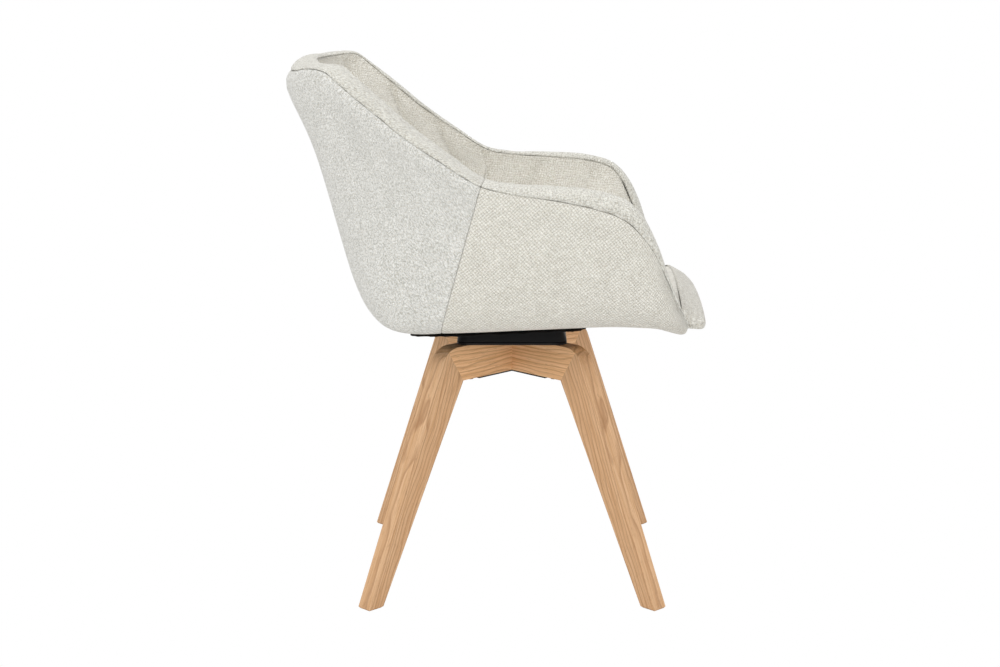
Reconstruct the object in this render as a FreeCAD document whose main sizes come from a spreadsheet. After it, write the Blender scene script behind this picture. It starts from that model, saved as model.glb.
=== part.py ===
import FreeCAD, Part
import math
import os
import Sketcher

# Swivel dining chair: an oak cross base, a steel ball turntable and an upholstered bucket seat.
# Millimetres. +Z is up, +X is the front of the seat, +Y its left side.
# The origin is on the floor, under the swivel axis.

V = FreeCAD.Vector

SIZES = {
    # Oak base: each leg is drawn in its own upright plane, where the radius runs out from the axis
    "base_thickness": 27.0,
    "foot_reach": 330.0,
    "foot_depth": 29.0,
    "foot_chamfer": 2.5,
    "outer_lean": 0.4333,
    "knee_radius": 123.5,
    "rail_underside": 339.0,
    "rail_depth": 56.0,
    "knee_round": 38.0,
    "lap_clearance": 0.05,
    "dowel_diameter": 8.0,
    "dowel_length": 30.0,
    "dowel_spacing": 26.0,
    "dowel_clearance": 0.1,
    "glide_diameter": 16.0,
    "glide_thickness": 3.5,
    "glide_stand": 1.0,
    # Steel strap under the crossing
    "strap_reach": 86.0,
    "strap_width": 22.0,
    "strap_thickness": 3.0,
    "strap_screw_radius": 64.0,
    "strap_screw_head": 9.0,
    "strap_screw_head_height": 2.0,
    "strap_screw_shank": 4.0,
    "strap_screw_length": 24.0,
    "screw_clearance": 0.1,
    # Turntable
    "plate_side": 176.0,
    "plate_corner": 14.0,
    "plate_thickness": 3.0,
    "rail_bolt_radius": 96.5,
    "rail_bolt_diameter": 6.0,
    "rail_bolt_head": 11.5,
    "rail_bolt_head_height": 2.4,
    "bolt_clearance": 0.3,
    "plate_nut_diameter": 11.0,
    "plate_nut_height": 7.0,
    "washer_diameter": 14.0,
    "washer_thickness": 1.0,
    "race_radius": 50.0,
    "race_width": 18.0,
    "race_height": 3.6,
    "ball_diameter": 6.0,
    "ball_count": 18,
    "ball_clearance": 0.2,
    "cage_thickness": 1.4,
    "cage_width": 12.0,
    "disc_diameter": 140.0,
    "disc_thickness": 3.0,
    "pivot_diameter": 12.0,
    "pivot_clearance": 0.05,
    "pivot_washer_diameter": 26.0,
    "pivot_washer_thickness": 1.5,
    "pivot_nut_across": 21.0,
    "pivot_nut_height": 6.5,
    "pivot_run_gap": 0.3,
    "pivot_recess_margin": 3.0,
    "pivot_thread_end": 1.5,
    # Bracket that carries the seat
    "bracket_floor_gap": 1.5,
    "bracket_height": 41.5,
    "bracket_top_side": 154.0,
    "bracket_wall": 2.5,
    "spacer_diameter": 76.0,
    "seat_bolt_spacing": 110.0,
    "seat_bolt_diameter": 6.0,
    "seat_bolt_head": 11.5,
    "seat_bolt_head_height": 3.4,
    "tee_flange": 17.0,
    "tee_flange_thickness": 1.4,
    "tee_barrel": 8.4,
    # Seat board
    "seat_rake": 2.7,
    "board_thickness": 12.0,
    "board_rear": 190.0,
    "front_clearance": 10.0,
    "board_half_width": 176.0,
    "board_rear_corner": 90.0,
    "board_front_corner": 16.0,
    "dust_cover_thickness": 0.8,
    "dust_cover_margin": 10.0,
    # Upholstered shell
    "cover_thickness": 4.0,
    "core_thickness": 9.0,
    "pad_thickness": 30.0,
    "layer_gap": 0.3,
    "seam_back_height": 826.0,
    "seam_arm_height": 657.0,
    "back_reach": 350.0,
    "nose_reach": 190.0,
    "foot_of_arm_reach": 272.0,
    "foot_of_arm_height": 452.0,
    "back_half_width": 214.0,
    "arm_half_width": 245.0,
    "nose_half_width": 264.0,
    "hem_half_width": 168.0,
    "hem_rear": 178.0,
    "hem_front": 246.0,
    "hem_roll": 84.0,
    "hem_gap": 1.4,
    "wall_lean_start": 92.0,
    # Seat cushion
    "cushion_rise": 43.7,
    "cushion_front_margin": 3.6,
    "cushion_side_drop": 30.0,
    "cushion_half_width": 204.0,
    "cushion_side_height": 14.0,
    "front_roll_depth": 40.0,
    "front_roll_nose_rise": 1.7,
    "front_roll_drop": 6.8,
    "front_roll_half_width": 222.0,
}

# Worked-out places, as formulas over the sizes
PLACES = {
    "rail_top": "Sizes.rail_underside + Sizes.rail_depth",
    "knee_corner": "Sizes.foot_reach - Sizes.outer_lean * Places.rail_top",
    "knee_outside": "Sizes.foot_reach - Sizes.outer_lean * Sizes.rail_underside",
    "mitre_run": "Places.knee_corner - Sizes.knee_radius",
    "mitre_length": "sqrt(Places.mitre_run ^ 2 + Sizes.rail_depth ^ 2)",
    "mitre_sin": "Places.mitre_run / Places.mitre_length",
    "mitre_cos": "Sizes.rail_depth / Places.mitre_length",
    "mitre_radius": "(Places.knee_corner + Sizes.knee_radius) / 2",
    "mitre_height": "Sizes.rail_underside + Sizes.rail_depth / 2",
    "half_thickness": "Sizes.base_thickness / 2",
    "foot_radius": "Sizes.foot_reach - Sizes.foot_depth / 2",
    "plate_underside": "Places.rail_top",
    "plate_top": "Places.plate_underside + Sizes.plate_thickness",
    "ball_height": "Places.plate_top + Sizes.race_height + Sizes.cage_thickness / 2 + 0.3",
    "upper_race_underside": "2 * Places.ball_height - Places.plate_top - Sizes.race_height",
    "disc_underside": "Places.upper_race_underside + Sizes.race_height",
    "disc_top": "Places.disc_underside + Sizes.disc_thickness",
    "washer_top": "Places.plate_underside - Sizes.pivot_run_gap",
    "pivot_nut_top": "Places.washer_top - Sizes.pivot_washer_thickness",
    "pivot_foot": "Places.pivot_nut_top - Sizes.pivot_nut_height - Sizes.pivot_thread_end",
    "recess_floor": "Places.pivot_foot - Sizes.pivot_recess_margin",
    "recess_radius": "Sizes.pivot_washer_diameter / 2 + Sizes.pivot_recess_margin",
    "bracket_foot": "Places.plate_top + Sizes.bracket_floor_gap",
    "board_height": "Places.bracket_foot + Sizes.bracket_height",
    "board_front": "Sizes.foot_of_arm_reach - Sizes.front_clearance",
    "front_roll_nose": "Places.board_front + Sizes.front_roll_depth",
    "spacer_top": "Places.board_height - Sizes.bracket_wall",
}

doc = FreeCAD.newDocument("SwivelDiningChair")
sheet = doc.addObject("Spreadsheet::Sheet", "Sizes")
for row, (alias, value) in enumerate(SIZES.items(), start=1):
    sheet.set("A%d" % row, alias.replace("_", " "))
    sheet.set("B%d" % row, "%g" % value)
    sheet.setAlias("B%d" % row, alias)
places = doc.addObject("Spreadsheet::Sheet", "Places")
for row, (alias, formula) in enumerate(PLACES.items(), start=1):
    places.set("A%d" % row, alias.replace("_", " "))
    places.set("B%d" % row, "=" + formula.replace("Places.", ""))
    places.setAlias("B%d" % row, alias)
doc.recompute()


def worth(formula):
    """The number that a formula over the two sheets gives now."""
    return float(sheet.evalExpression(str(formula)))


def size(alias):
    return float(sheet.get(alias))


def place(alias):
    return float(places.get(alias))


PARTS = []


def keep(piece, label):
    piece.Label = label
    PARTS.append(piece)
    return piece


# Sketches and features

def new_body(name):
    return doc.addObject("PartDesign::Body", name + "_body")


def new_sketch(body, name, plane, offset=None):
    """A sketch on one of the body's own origin planes, raised along the plane's normal by a formula."""
    sketch = body.newObject("Sketcher::SketchObject", name)
    role = plane + "_Plane"
    support = [f for f in body.Origin.OriginFeatures if f.Role == role][0]
    sketch.AttachmentSupport = (support, "")
    sketch.MapMode = "FlatFace"
    if offset is not None:
        sketch.setExpression("AttachmentOffset.Base.z", offset)
    return sketch


def pin(sketch, geometry, point, x, y):
    """Holds a point of the sketch at two formulas."""
    for kind, formula in (("DistanceX", x), ("DistanceY", y)):
        index = sketch.addConstraint(Sketcher.Constraint(kind, -1, 1, geometry, point, worth(formula)))
        sketch.setExpression("Constraints[%d]" % index, formula)


def outline(sketch, points):
    """A closed outline through points given as pairs of formulas."""
    spots = [V(worth(x), worth(y), 0) for x, y in points]
    lines = []
    for i, spot in enumerate(spots):
        lines.append(sketch.addGeometry(Part.LineSegment(spot, spots[(i + 1) % len(spots)])))
    for i, line in enumerate(lines):
        sketch.addConstraint(Sketcher.Constraint("Coincident", line, 2, lines[(i + 1) % len(lines)], 1))
    for line, (x, y) in zip(lines, points):
        pin(sketch, line, 1, x, y)


def circle(sketch, x, y, diameter):
    ring = Part.Circle(V(worth(x), worth(y), 0), V(0, 0, 1), worth(diameter) / 2)
    index = sketch.addGeometry(ring)
    pin(sketch, index, 3, x, y)
    mark = sketch.addConstraint(Sketcher.Constraint("Diameter", index, worth(diameter)))
    sketch.setExpression("Constraints[%d]" % mark, diameter)


def pad(body, sketch, length, both_ways=False):
    feature = body.newObject("PartDesign::Pad", sketch.Name + "_pad")
    feature.Profile = sketch
    feature.SideType = "Symmetric" if both_ways else "One side"
    feature.setExpression("Length", length)
    doc.recompute()
    return feature


def pocket(body, sketch, length=None, both_ways=False, downwards=True):
    """Cuts the sketch out, along its normal reversed unless told otherwise, and checks that it cut."""
    before = body.Shape.Volume
    feature = body.newObject("PartDesign::Pocket", sketch.Name + "_cut")
    feature.Profile = sketch
    if both_ways:
        feature.SideType = "Symmetric"
    feature.Reversed = not downwards
    if length is None:
        feature.Type = "ThroughAll"
    else:
        feature.setExpression("Length", length)
    doc.recompute()
    if body.Shape.Volume > before - 1.0:
        raise RuntimeError("nothing was cut by " + sketch.Name)
    return feature


def bore(body, name, plane, axis_start, axis_end, radius):
    """A round hole from one point to another of a plane, cut as a groove about that line."""
    sketch = new_sketch(body, name, plane)
    (x0, y0), (x1, y1) = axis_start, axis_end
    run = "sqrt((%s - (%s)) ^ 2 + (%s - (%s)) ^ 2)" % (x1, x0, y1, y0)
    side_x = "(%s - (%s)) / %s * (%s)" % (y0, y1, run, radius)
    side_y = "(%s - (%s)) / %s * (%s)" % (x1, x0, run, radius)
    far = ("%s + %s" % (x1, side_x), "%s + %s" % (y1, side_y))
    near = ("%s + %s" % (x0, side_x), "%s + %s" % (y0, side_y))
    outline(sketch, [axis_start, axis_end, far, near])
    before = body.Shape.Volume
    groove = body.newObject("PartDesign::Groove", name + "_groove")
    groove.Profile = sketch
    groove.ReferenceAxis = (sketch, ["Edge1"])
    groove.Angle = 360.0
    doc.recompute()
    if body.Shape.Volume > before - 1.0:
        raise RuntimeError("nothing was bored by " + name)
    return groove


def round_edges(body, feature, name, radius, chosen):
    names = []
    for i, edge in enumerate(feature.Shape.Edges, start=1):
        if chosen(edge):
            names.append("Edge%d" % i)
    fillet = body.newObject("PartDesign::Fillet", name)
    fillet.Base = (feature, names)
    fillet.setExpression("Radius", radius)
    doc.recompute()
    return fillet


def chamfer_edges(body, feature, name, depth, chosen):
    names = []
    for i, edge in enumerate(feature.Shape.Edges, start=1):
        if chosen(edge):
            names.append("Edge%d" % i)
    chamfer = body.newObject("PartDesign::Chamfer", name)
    chamfer.Base = (feature, names)
    chamfer.setExpression("Size", depth)
    doc.recompute()
    return chamfer


def runs_along(direction, at=None, near=0.5):
    """Picks straight edges along a direction, by a test of their middle point where one is given."""
    def chosen(edge):
        if edge.Curve.TypeId != "Part::GeomLine":
            return False
        if abs(abs(edge.Curve.Direction.dot(direction)) - 1.0) > 1e-6:
            return False
        middle = edge.valueAt((edge.FirstParameter + edge.LastParameter) / 2)
        return at is None or at(middle)
    return chosen


# Primitives bound to the sheet

def cylinder(name, diameter, base, height):
    solid = doc.addObject("Part::Cylinder", name)
    solid.setExpression("Radius", "(%s) / 2" % diameter)
    solid.setExpression("Height", height)
    solid.setExpression("Placement.Base.z", base)
    return solid


def cut(name, base, tools):
    for index, tool in enumerate(tools):
        piece = doc.addObject("Part::Cut", "%s_%d" % (name, index))
        piece.Base = base
        piece.Tool = tool
        base = piece
    return base


def group(name, pieces):
    bundle = doc.addObject("Part::Compound", name)
    bundle.Links = pieces
    return bundle


def ring(name, outer, inner, base, height):
    return cut(name, cylinder(name + "_outside", outer, base, height),
               [cylinder(name + "_inside", inner, "%s - 1" % base, "%s + 2" % height)])


def fused(name, pieces):
    whole = doc.addObject("Part::MultiFuse", name)
    whole.Shapes = pieces
    return whole


def turned(angle):
    return FreeCAD.Rotation(V(0, 0, 1), angle)


# The four legs stand in the diagonal planes of the base
LEG_ANGLES = {"front_left": 45.0, "rear_left": 135.0, "rear_right": 225.0, "front_right": 315.0}


def mitre_dowel_line(step, side):
    """Axis of a mitre dowel, square to the mitre; the side is +1 at the leg of the drawn plane."""
    middle_x = "Places.mitre_radius + (%s) * Places.mitre_sin" % step
    middle_y = "Places.mitre_height + (%s) * Places.mitre_cos" % step
    half = "(Sizes.dowel_length / 2 + 0.5)"
    start = ("%d * (%s - %s * Places.mitre_cos)" % (side, middle_x, half),
             "%s + %s * Places.mitre_sin" % (middle_y, half))
    end = ("%d * (%s + %s * Places.mitre_cos)" % (side, middle_x, half),
           "%s - %s * Places.mitre_sin" % (middle_y, half))
    return start, end


DOWEL_STEPS = ("-Sizes.dowel_spacing / 2", "Sizes.dowel_spacing / 2")
DOWEL_BORE = "Sizes.dowel_diameter / 2 + Sizes.dowel_clearance"


def knee_corner_edge(sign):
    def at(middle):
        return (abs(middle.x - sign * place("knee_corner")) < 0.5
                and abs(middle.z - place("rail_top")) < 0.5)
    return runs_along(V(0, 1, 0), at)


def make_leg(label, angle):
    body = new_body(label)
    sketch = new_sketch(body, label + "_side", "XZ")
    stub = "Sizes.knee_radius - Sizes.knee_round"
    outline(sketch, [
        ("Sizes.foot_reach - Sizes.outer_lean * Sizes.glide_stand", "Sizes.glide_stand"),
        ("Places.knee_corner", "Places.rail_top"),
        (stub, "Places.rail_top"),
        (stub, "Sizes.rail_underside"),
        ("Sizes.knee_radius", "Sizes.rail_underside"),
        ("Sizes.foot_reach - Sizes.foot_depth", "Sizes.glide_stand"),
    ])
    shape = pad(body, sketch, "Sizes.base_thickness", both_ways=True)
    shape = round_edges(body, shape, label + "_knee", "Sizes.knee_round", knee_corner_edge(1))
    mitre = new_sketch(body, label + "_mitre", "XZ")
    beyond = "Sizes.rail_depth"
    outline(mitre, [
        ("Sizes.knee_radius - Places.mitre_run", "Sizes.rail_underside - " + beyond),
        ("Places.knee_corner + Places.mitre_run", "Places.rail_top + " + beyond),
        (stub + " - 10", "Places.rail_top + " + beyond),
        (stub + " - 10", "Sizes.rail_underside - " + beyond),
    ])
    shape = pocket(body, mitre, both_ways=True)
    low = size("glide_stand")
    shape = chamfer_edges(body, shape, label + "_foot_edges", "Sizes.foot_chamfer",
                          lambda edge: edge.BoundBox.ZMax < low + 0.1)
    for index, step in enumerate(DOWEL_STEPS):
        start, end = mitre_dowel_line(step, 1)
        bore(body, "%s_dowel_hole_%d" % (label, index), "XZ", start, end, DOWEL_BORE)
    top = "Sizes.glide_thickness"
    bore(body, label + "_glide_recess", "XZ", ("Places.foot_radius", "0"), ("Places.foot_radius", top),
         "Sizes.glide_diameter / 2 + 0.1")
    body.Placement = FreeCAD.Placement(V(0, 0, 0), turned(angle))
    return keep(body, label)


def make_rail(label, angle, notch_from, notch_to):
    """A rail with a mitre and a rounded knee at each end, and a half lap where the other rail crosses."""
    body = new_body(label)
    sketch = new_sketch(body, label + "_side", "XZ")
    outline(sketch, [
        ("-Places.knee_outside", "Sizes.rail_underside"),
        ("Places.knee_outside", "Sizes.rail_underside"),
        ("Places.knee_corner", "Places.rail_top"),
        ("-Places.knee_corner", "Places.rail_top"),
    ])
    shape = pad(body, sketch, "Sizes.base_thickness", both_ways=True)

    def either_corner(edge):
        return knee_corner_edge(1)(edge) or knee_corner_edge(-1)(edge)
    round_edges(body, shape, label + "_knees", "Sizes.knee_round", either_corner)
    for sign, end in ((1, "a"), (-1, "b")):
        mitre = new_sketch(body, "%s_mitre_%s" % (label, end), "XZ")
        beyond = "Sizes.rail_depth"
        outline(mitre, [
            ("%d * (Sizes.knee_radius - Places.mitre_run)" % sign, "Sizes.rail_underside - " + beyond),
            ("%d * (Places.knee_corner + Places.mitre_run)" % sign, "Places.rail_top + " + beyond),
            ("%d * Sizes.foot_reach" % sign, "Places.rail_top + " + beyond),
            ("%d * Sizes.foot_reach" % sign, "Sizes.rail_underside - " + beyond),
        ])
        pocket(body, mitre, both_ways=True)
        for index, step in enumerate(DOWEL_STEPS):
            start, finish = mitre_dowel_line(step, sign)
            bore(body, "%s_dowel_hole_%s%d" % (label, end, index), "XZ", start, finish, DOWEL_BORE)
        bolt = "%d * Sizes.rail_bolt_radius" % sign
        bore(body, "%s_bolt_hole_%s" % (label, end), "XZ", (bolt, "Sizes.rail_underside - 1"),
             (bolt, "Places.rail_top + 1"), "Sizes.rail_bolt_diameter / 2 + Sizes.bolt_clearance")
        bore(body, "%s_nut_seat_%s" % (label, end), "XZ",
             (bolt, "Places.rail_top - Sizes.plate_nut_height - 0.3"), (bolt, "Places.rail_top + 1"),
             "Sizes.plate_nut_diameter / 2 + 0.2")
        screw = "%d * Sizes.strap_screw_radius" % sign
        bore(body, "%s_screw_hole_%s" % (label, end), "XZ", (screw, "Sizes.rail_underside - 1"),
             (screw, "Sizes.rail_underside + Sizes.strap_screw_length + 1"),
             "Sizes.strap_screw_shank / 2 + Sizes.screw_clearance")
    notch = new_sketch(body, label + "_lap", "XZ")
    half = "(Places.half_thickness + Sizes.lap_clearance)"
    outline(notch, [("-" + half, notch_from), (half, notch_from), (half, notch_to), ("-" + half, notch_to)])
    pocket(body, notch, both_ways=True)
    bore(body, label + "_pivot_recess", "XZ", ("0", "Places.recess_floor"), ("0", "Places.rail_top + 1"),
         "Places.recess_radius")
    body.Placement = FreeCAD.Placement(V(0, 0, 0), turned(angle))
    return keep(body, label)


def make_base():
    for corner, angle in LEG_ANGLES.items():
        make_leg("leg_" + corner, angle)
    lap = "Places.mitre_height"
    make_rail("cross_rail_upper", LEG_ANGLES["front_left"], "Sizes.rail_underside - 1", lap)
    make_rail("cross_rail_lower", LEG_ANGLES["rear_left"], lap, "Places.rail_top + 1")
    dowels = []
    glides = []
    for corner, angle in LEG_ANGLES.items():
        for index, step in enumerate((-size("dowel_spacing") / 2, size("dowel_spacing") / 2)):
            dowel = cylinder("dowel_%s_%d" % (corner, index), "Sizes.dowel_diameter", "0",
                             "Sizes.dowel_length")
            sine, cosine = place("mitre_sin"), place("mitre_cos")
            half = size("dowel_length") / 2
            start = V(place("mitre_radius") + step * sine - half * cosine, 0,
                      place("mitre_height") + step * cosine + half * sine)
            lie = FreeCAD.Rotation(V(0, 0, 1), V(cosine, 0, -sine))
            spin = turned(angle)
            dowel.setExpression("Placement.Base.z", None)
            dowel.Placement = FreeCAD.Placement(spin.multVec(start), spin.multiply(lie))
            dowels.append(dowel)
        glide = cylinder("glide_" + corner, "Sizes.glide_diameter", "0", "Sizes.glide_thickness")
        glide.setExpression("Placement.Base.x", "Places.foot_radius * cos(%g)" % angle)
        glide.setExpression("Placement.Base.y", "Places.foot_radius * sin(%g)" % angle)
        glides.append(glide)
    keep(group("dowels", dowels), "mitre_dowels")
    keep(group("glides", glides), "foot_glides")
    make_strap()


def around(solids_at, count, first=45.0):
    return [solids_at(index, first + 360.0 / count * index) for index in range(count)]


def move_round(solid, radius, angle):
    solid.setExpression("Placement.Base.x", "(%s) * cos(%g)" % (radius, angle))
    solid.setExpression("Placement.Base.y", "(%s) * sin(%g)" % (radius, angle))
    return solid


def make_strap():
    """A flat steel cross under the lapped rails, with a screw in each arm."""
    bars = []
    for index, angle in enumerate((45.0, 135.0)):
        bar = doc.addObject("Part::Box", "strap_bar_%d" % index)
        bar.setExpression("Length", "2 * Sizes.strap_reach")
        bar.setExpression("Width", "Sizes.strap_width")
        bar.setExpression("Height", "Sizes.strap_thickness")
        corner = turned(angle).multVec(V(-size("strap_reach"), -size("strap_width") / 2, 0))
        height = size("rail_underside") - size("strap_thickness")
        bar.Placement = FreeCAD.Placement(corner + V(0, 0, height), turned(angle))
        bars.append(bar)
    hole = "Sizes.strap_screw_shank + 2 * Sizes.screw_clearance"
    holes = around(lambda i, a: move_round(cylinder(
        "strap_hole_%d" % i, hole, "Sizes.rail_underside - Sizes.strap_thickness - 1",
        "Sizes.strap_thickness + 2"), "Sizes.strap_screw_radius", a), 4)
    keep(cut("strap", fused("strap_cross", bars), holes), "cross_strap")

    def screw(index, angle):
        under = "Sizes.rail_underside - Sizes.strap_thickness"
        head = cylinder("strap_screw_head_%d" % index, "Sizes.strap_screw_head",
                        under + " - Sizes.strap_screw_head_height", "Sizes.strap_screw_head_height")
        shank = cylinder("strap_screw_shank_%d" % index, "Sizes.strap_screw_shank", under + " - 0.5",
                         "Sizes.strap_screw_length + 0.5")
        for solid in (head, shank):
            move_round(solid, "Sizes.strap_screw_radius", angle)
        return fused("strap_screw_%d" % index, [head, shank])
    keep(group("strap_screw_set", around(screw, 4)), "strap_screws")


def make_fixed_turntable():
    """The square plate bolted on the rails, with its fasteners and the lower ball race."""
    body = new_body("swivel_plate")
    sketch = new_sketch(body, "swivel_plate_outline", "XY", "Places.plate_underside")
    half = "Sizes.plate_side / 2"
    outline(sketch, [("-" + half, "-" + half), (half, "-" + half), (half, half), ("-" + half, half)])
    shape = pad(body, sketch, "Sizes.plate_thickness")
    round_edges(body, shape, "swivel_plate_corners", "Sizes.plate_corner", runs_along(V(0, 0, 1)))
    holes = new_sketch(body, "swivel_plate_holes", "XY", "Places.plate_top")
    circle(holes, "0", "0", "Sizes.pivot_diameter + 2 * Sizes.pivot_clearance")
    reach = "Sizes.rail_bolt_radius / sqrt(2)"
    for x, y in ((1, 1), (-1, 1), (-1, -1), (1, -1)):
        circle(holes, "%d * %s" % (x, reach), "%d * %s" % (y, reach),
               "Sizes.rail_bolt_diameter + 2 * Sizes.screw_clearance")
    pocket(body, holes)
    keep(body, "swivel_plate")

    def nut(index, angle):
        solid = ring("plate_nut_%d" % index, "Sizes.plate_nut_diameter",
                     "Sizes.rail_bolt_diameter + 2 * Sizes.screw_clearance",
                     "Places.plate_underside - Sizes.plate_nut_height", "Sizes.plate_nut_height")
        for part in (solid.Base, solid.Tool):
            move_round(part, "Sizes.rail_bolt_radius", angle)
        return solid

    def washer(index, angle):
        solid = ring("washer_%d" % index, "Sizes.washer_diameter",
                     "Sizes.rail_bolt_diameter + 2 * Sizes.bolt_clearance",
                     "Sizes.rail_underside - Sizes.washer_thickness", "Sizes.washer_thickness")
        for part in (solid.Base, solid.Tool):
            move_round(part, "Sizes.rail_bolt_radius", angle)
        return solid

    def bolt(index, angle):
        under = "Sizes.rail_underside - Sizes.washer_thickness"
        head = cylinder("rail_bolt_head_%d" % index, "Sizes.rail_bolt_head",
                        under + " - Sizes.rail_bolt_head_height", "Sizes.rail_bolt_head_height")
        shank = cylinder("rail_bolt_shank_%d" % index, "Sizes.rail_bolt_diameter", under + " - 0.5",
                         "Places.plate_top - (%s) + 0.5" % under)
        for solid in (head, shank):
            move_round(solid, "Sizes.rail_bolt_radius", angle)
        return fused("rail_bolt_%d" % index, [head, shank])

    keep(group("plate_nut_set", around(nut, 4)), "plate_nuts")
    keep(group("washer_set", around(washer, 4)), "bolt_washers")
    keep(group("rail_bolt_set", around(bolt, 4)), "rail_bolts")
    keep(race("lower_race", "Places.plate_top"), "lower_race")


def ball_track(name, extra):
    """The torus that the balls sweep, widened by a clearance."""
    track = doc.addObject("Part::Torus", name)
    track.setExpression("Radius1", "Sizes.race_radius")
    track.setExpression("Radius2", "Sizes.ball_diameter / 2 + " + extra)
    track.setExpression("Placement.Base.z", "Places.ball_height")
    return track


def race(name, base):
    blank = ring(name + "_ring", "2 * Sizes.race_radius + Sizes.race_width",
                 "2 * Sizes.race_radius - Sizes.race_width", base, "Sizes.race_height")
    return cut(name, blank, [ball_track(name + "_track", "Sizes.ball_clearance")])


def ball(name, angle, extra="0"):
    sphere = doc.addObject("Part::Sphere", name)
    sphere.setExpression("Radius", "Sizes.ball_diameter / 2 + " + extra)
    sphere.setExpression("Placement.Base.z", "Places.ball_height")
    return move_round(sphere, "Sizes.race_radius", angle)


def make_bearing():
    """The balls and the cage that spaces them, which turn at half the speed of the seat."""
    count = int(size("ball_count"))
    balls = around(lambda i, a: ball("ball_%d" % i, a), count, 0.0)
    keep(group("ball_set", balls), "bearing_balls")
    blank = ring("cage_ring", "2 * Sizes.race_radius + Sizes.cage_width",
                 "2 * Sizes.race_radius - Sizes.cage_width",
                 "Places.ball_height - Sizes.cage_thickness / 2", "Sizes.cage_thickness")
    pockets = around(lambda i, a: ball("cage_pocket_%d" % i, a, "Sizes.ball_clearance"), count, 0.0)
    keep(cut("cage", blank, [group("cage_pockets", pockets)]), "ball_cage")


# The seat leans back about an axis across the chair, at the underside of its board

def lean():
    return FreeCAD.Placement(V(0, 0, place("board_height")), FreeCAD.Rotation(V(0, 1, 0), -size("seat_rake")))


def half_space(name, drop):
    """A slab whose lower face is the board's underside, lowered by a formula."""
    slab = doc.addObject("Part::Box", name)
    side = 4 * size("plate_side")
    slab.Length = side
    slab.Width = side
    slab.Height = side
    slab.Placement = lean().multiply(FreeCAD.Placement(V(-side / 2, -side / 2, -worth(drop)), FreeCAD.Rotation()))
    return slab


def frustum(name, inset, drop, foot_drop):
    """A square tub on its head, drawn in towards the seat, with rounded corners and a leaning top."""
    low = worth("Places.bracket_foot") - foot_drop
    high = place("board_height") + 30.0
    wires = []
    slope = (size("plate_side") - size("bracket_top_side")) / 2 / (place("board_height")
                                                                   - worth("Places.bracket_foot"))
    for height in (low, high):
        half = size("plate_side") / 2 - inset - slope * (height - worth("Places.bracket_foot"))
        corner = size("plate_corner") - inset
        box = Part.makeBox(2 * half, 2 * half, 1.0, V(-half, -half, height))
        upright = [e for e in box.Edges if abs(e.BoundBox.ZLength - 1.0) < 1e-6]
        box = box.makeFillet(corner, upright)
        lowest = [f for f in box.Faces if abs(f.CenterOfMass.z - height) < 1e-6][0]
        wires.append(lowest.OuterWire)
    tub = doc.addObject("Part::Feature", name)
    tub.Shape = Part.makeLoft(wires, True, True)
    return cut(name + "_trim", tub, [half_space(name + "_slab", drop)])


def seat_bolt_spots():
    half = size("seat_bolt_spacing") / 2
    return [V(x * half, y * half, 0) for x, y in ((1, 1), (-1, 1), (-1, -1), (1, -1))]


def leaning_cylinder(name, diameter, spot, low, height):
    solid = doc.addObject("Part::Cylinder", name)
    solid.setExpression("Radius", "(%s) / 2" % diameter)
    solid.setExpression("Height", height)
    solid.Placement = lean().multiply(FreeCAD.Placement(spot + V(0, 0, worth(low)), FreeCAD.Rotation()))
    return solid


def make_turning_turntable():
    """Everything of the turntable that turns with the seat."""
    keep(race("upper_race", "Places.upper_race_underside"), "upper_race")
    hole = "Sizes.pivot_diameter + 2 * Sizes.pivot_clearance"
    keep(ring("disc", "Sizes.disc_diameter", hole, "Places.disc_underside", "Sizes.disc_thickness"),
         "turntable_disc")
    block = ring("spacer_block", "Sizes.spacer_diameter", hole, "Places.disc_top",
                 "Places.spacer_top - Places.disc_top + 20")
    keep(cut("spacer", block, [half_space("spacer_slab", "Sizes.bracket_wall")]), "wedge_spacer")

    shell = cut("bracket_shell", frustum("bracket_outside", 0.0, "0", 0.0),
                [frustum("bracket_inside", size("bracket_wall"), "Sizes.bracket_wall", 1.0)])
    holes = []
    for index, spot in enumerate(seat_bolt_spots()):
        holes.append(leaning_cylinder("bracket_hole_%d" % index,
                                      "Sizes.seat_bolt_diameter + 2 * Sizes.bolt_clearance", spot,
                                      "-Sizes.bracket_wall - 1", "Sizes.bracket_wall + 2"))
    keep(cut("bracket", shell, holes), "seat_bracket")

    pivot_top = "Places.spacer_top - Sizes.pivot_diameter / 2"
    keep(cylinder("pivot", "Sizes.pivot_diameter", "Places.pivot_foot", pivot_top + " - Places.pivot_foot"),
         "pivot_pin")
    keep(ring("pivot_washer_ring", "Sizes.pivot_washer_diameter", hole,
              "Places.washer_top - Sizes.pivot_washer_thickness", "Sizes.pivot_washer_thickness"),
         "pivot_washer")
    nut = doc.addObject("Part::Prism", "pivot_nut_blank")
    nut.Polygon = 6
    nut.setExpression("Circumradius", "Sizes.pivot_nut_across / sqrt(3)")
    nut.setExpression("Height", "Sizes.pivot_nut_height")
    nut.setExpression("Placement.Base.z", "Places.pivot_nut_top - Sizes.pivot_nut_height")
    nut_hole = cylinder("pivot_nut_hole", hole, "Places.pivot_nut_top - Sizes.pivot_nut_height - 1",
                        "Sizes.pivot_nut_height + 2")
    keep(cut("pivot_nut_cut", nut, [nut_hole]), "pivot_nut")


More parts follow.
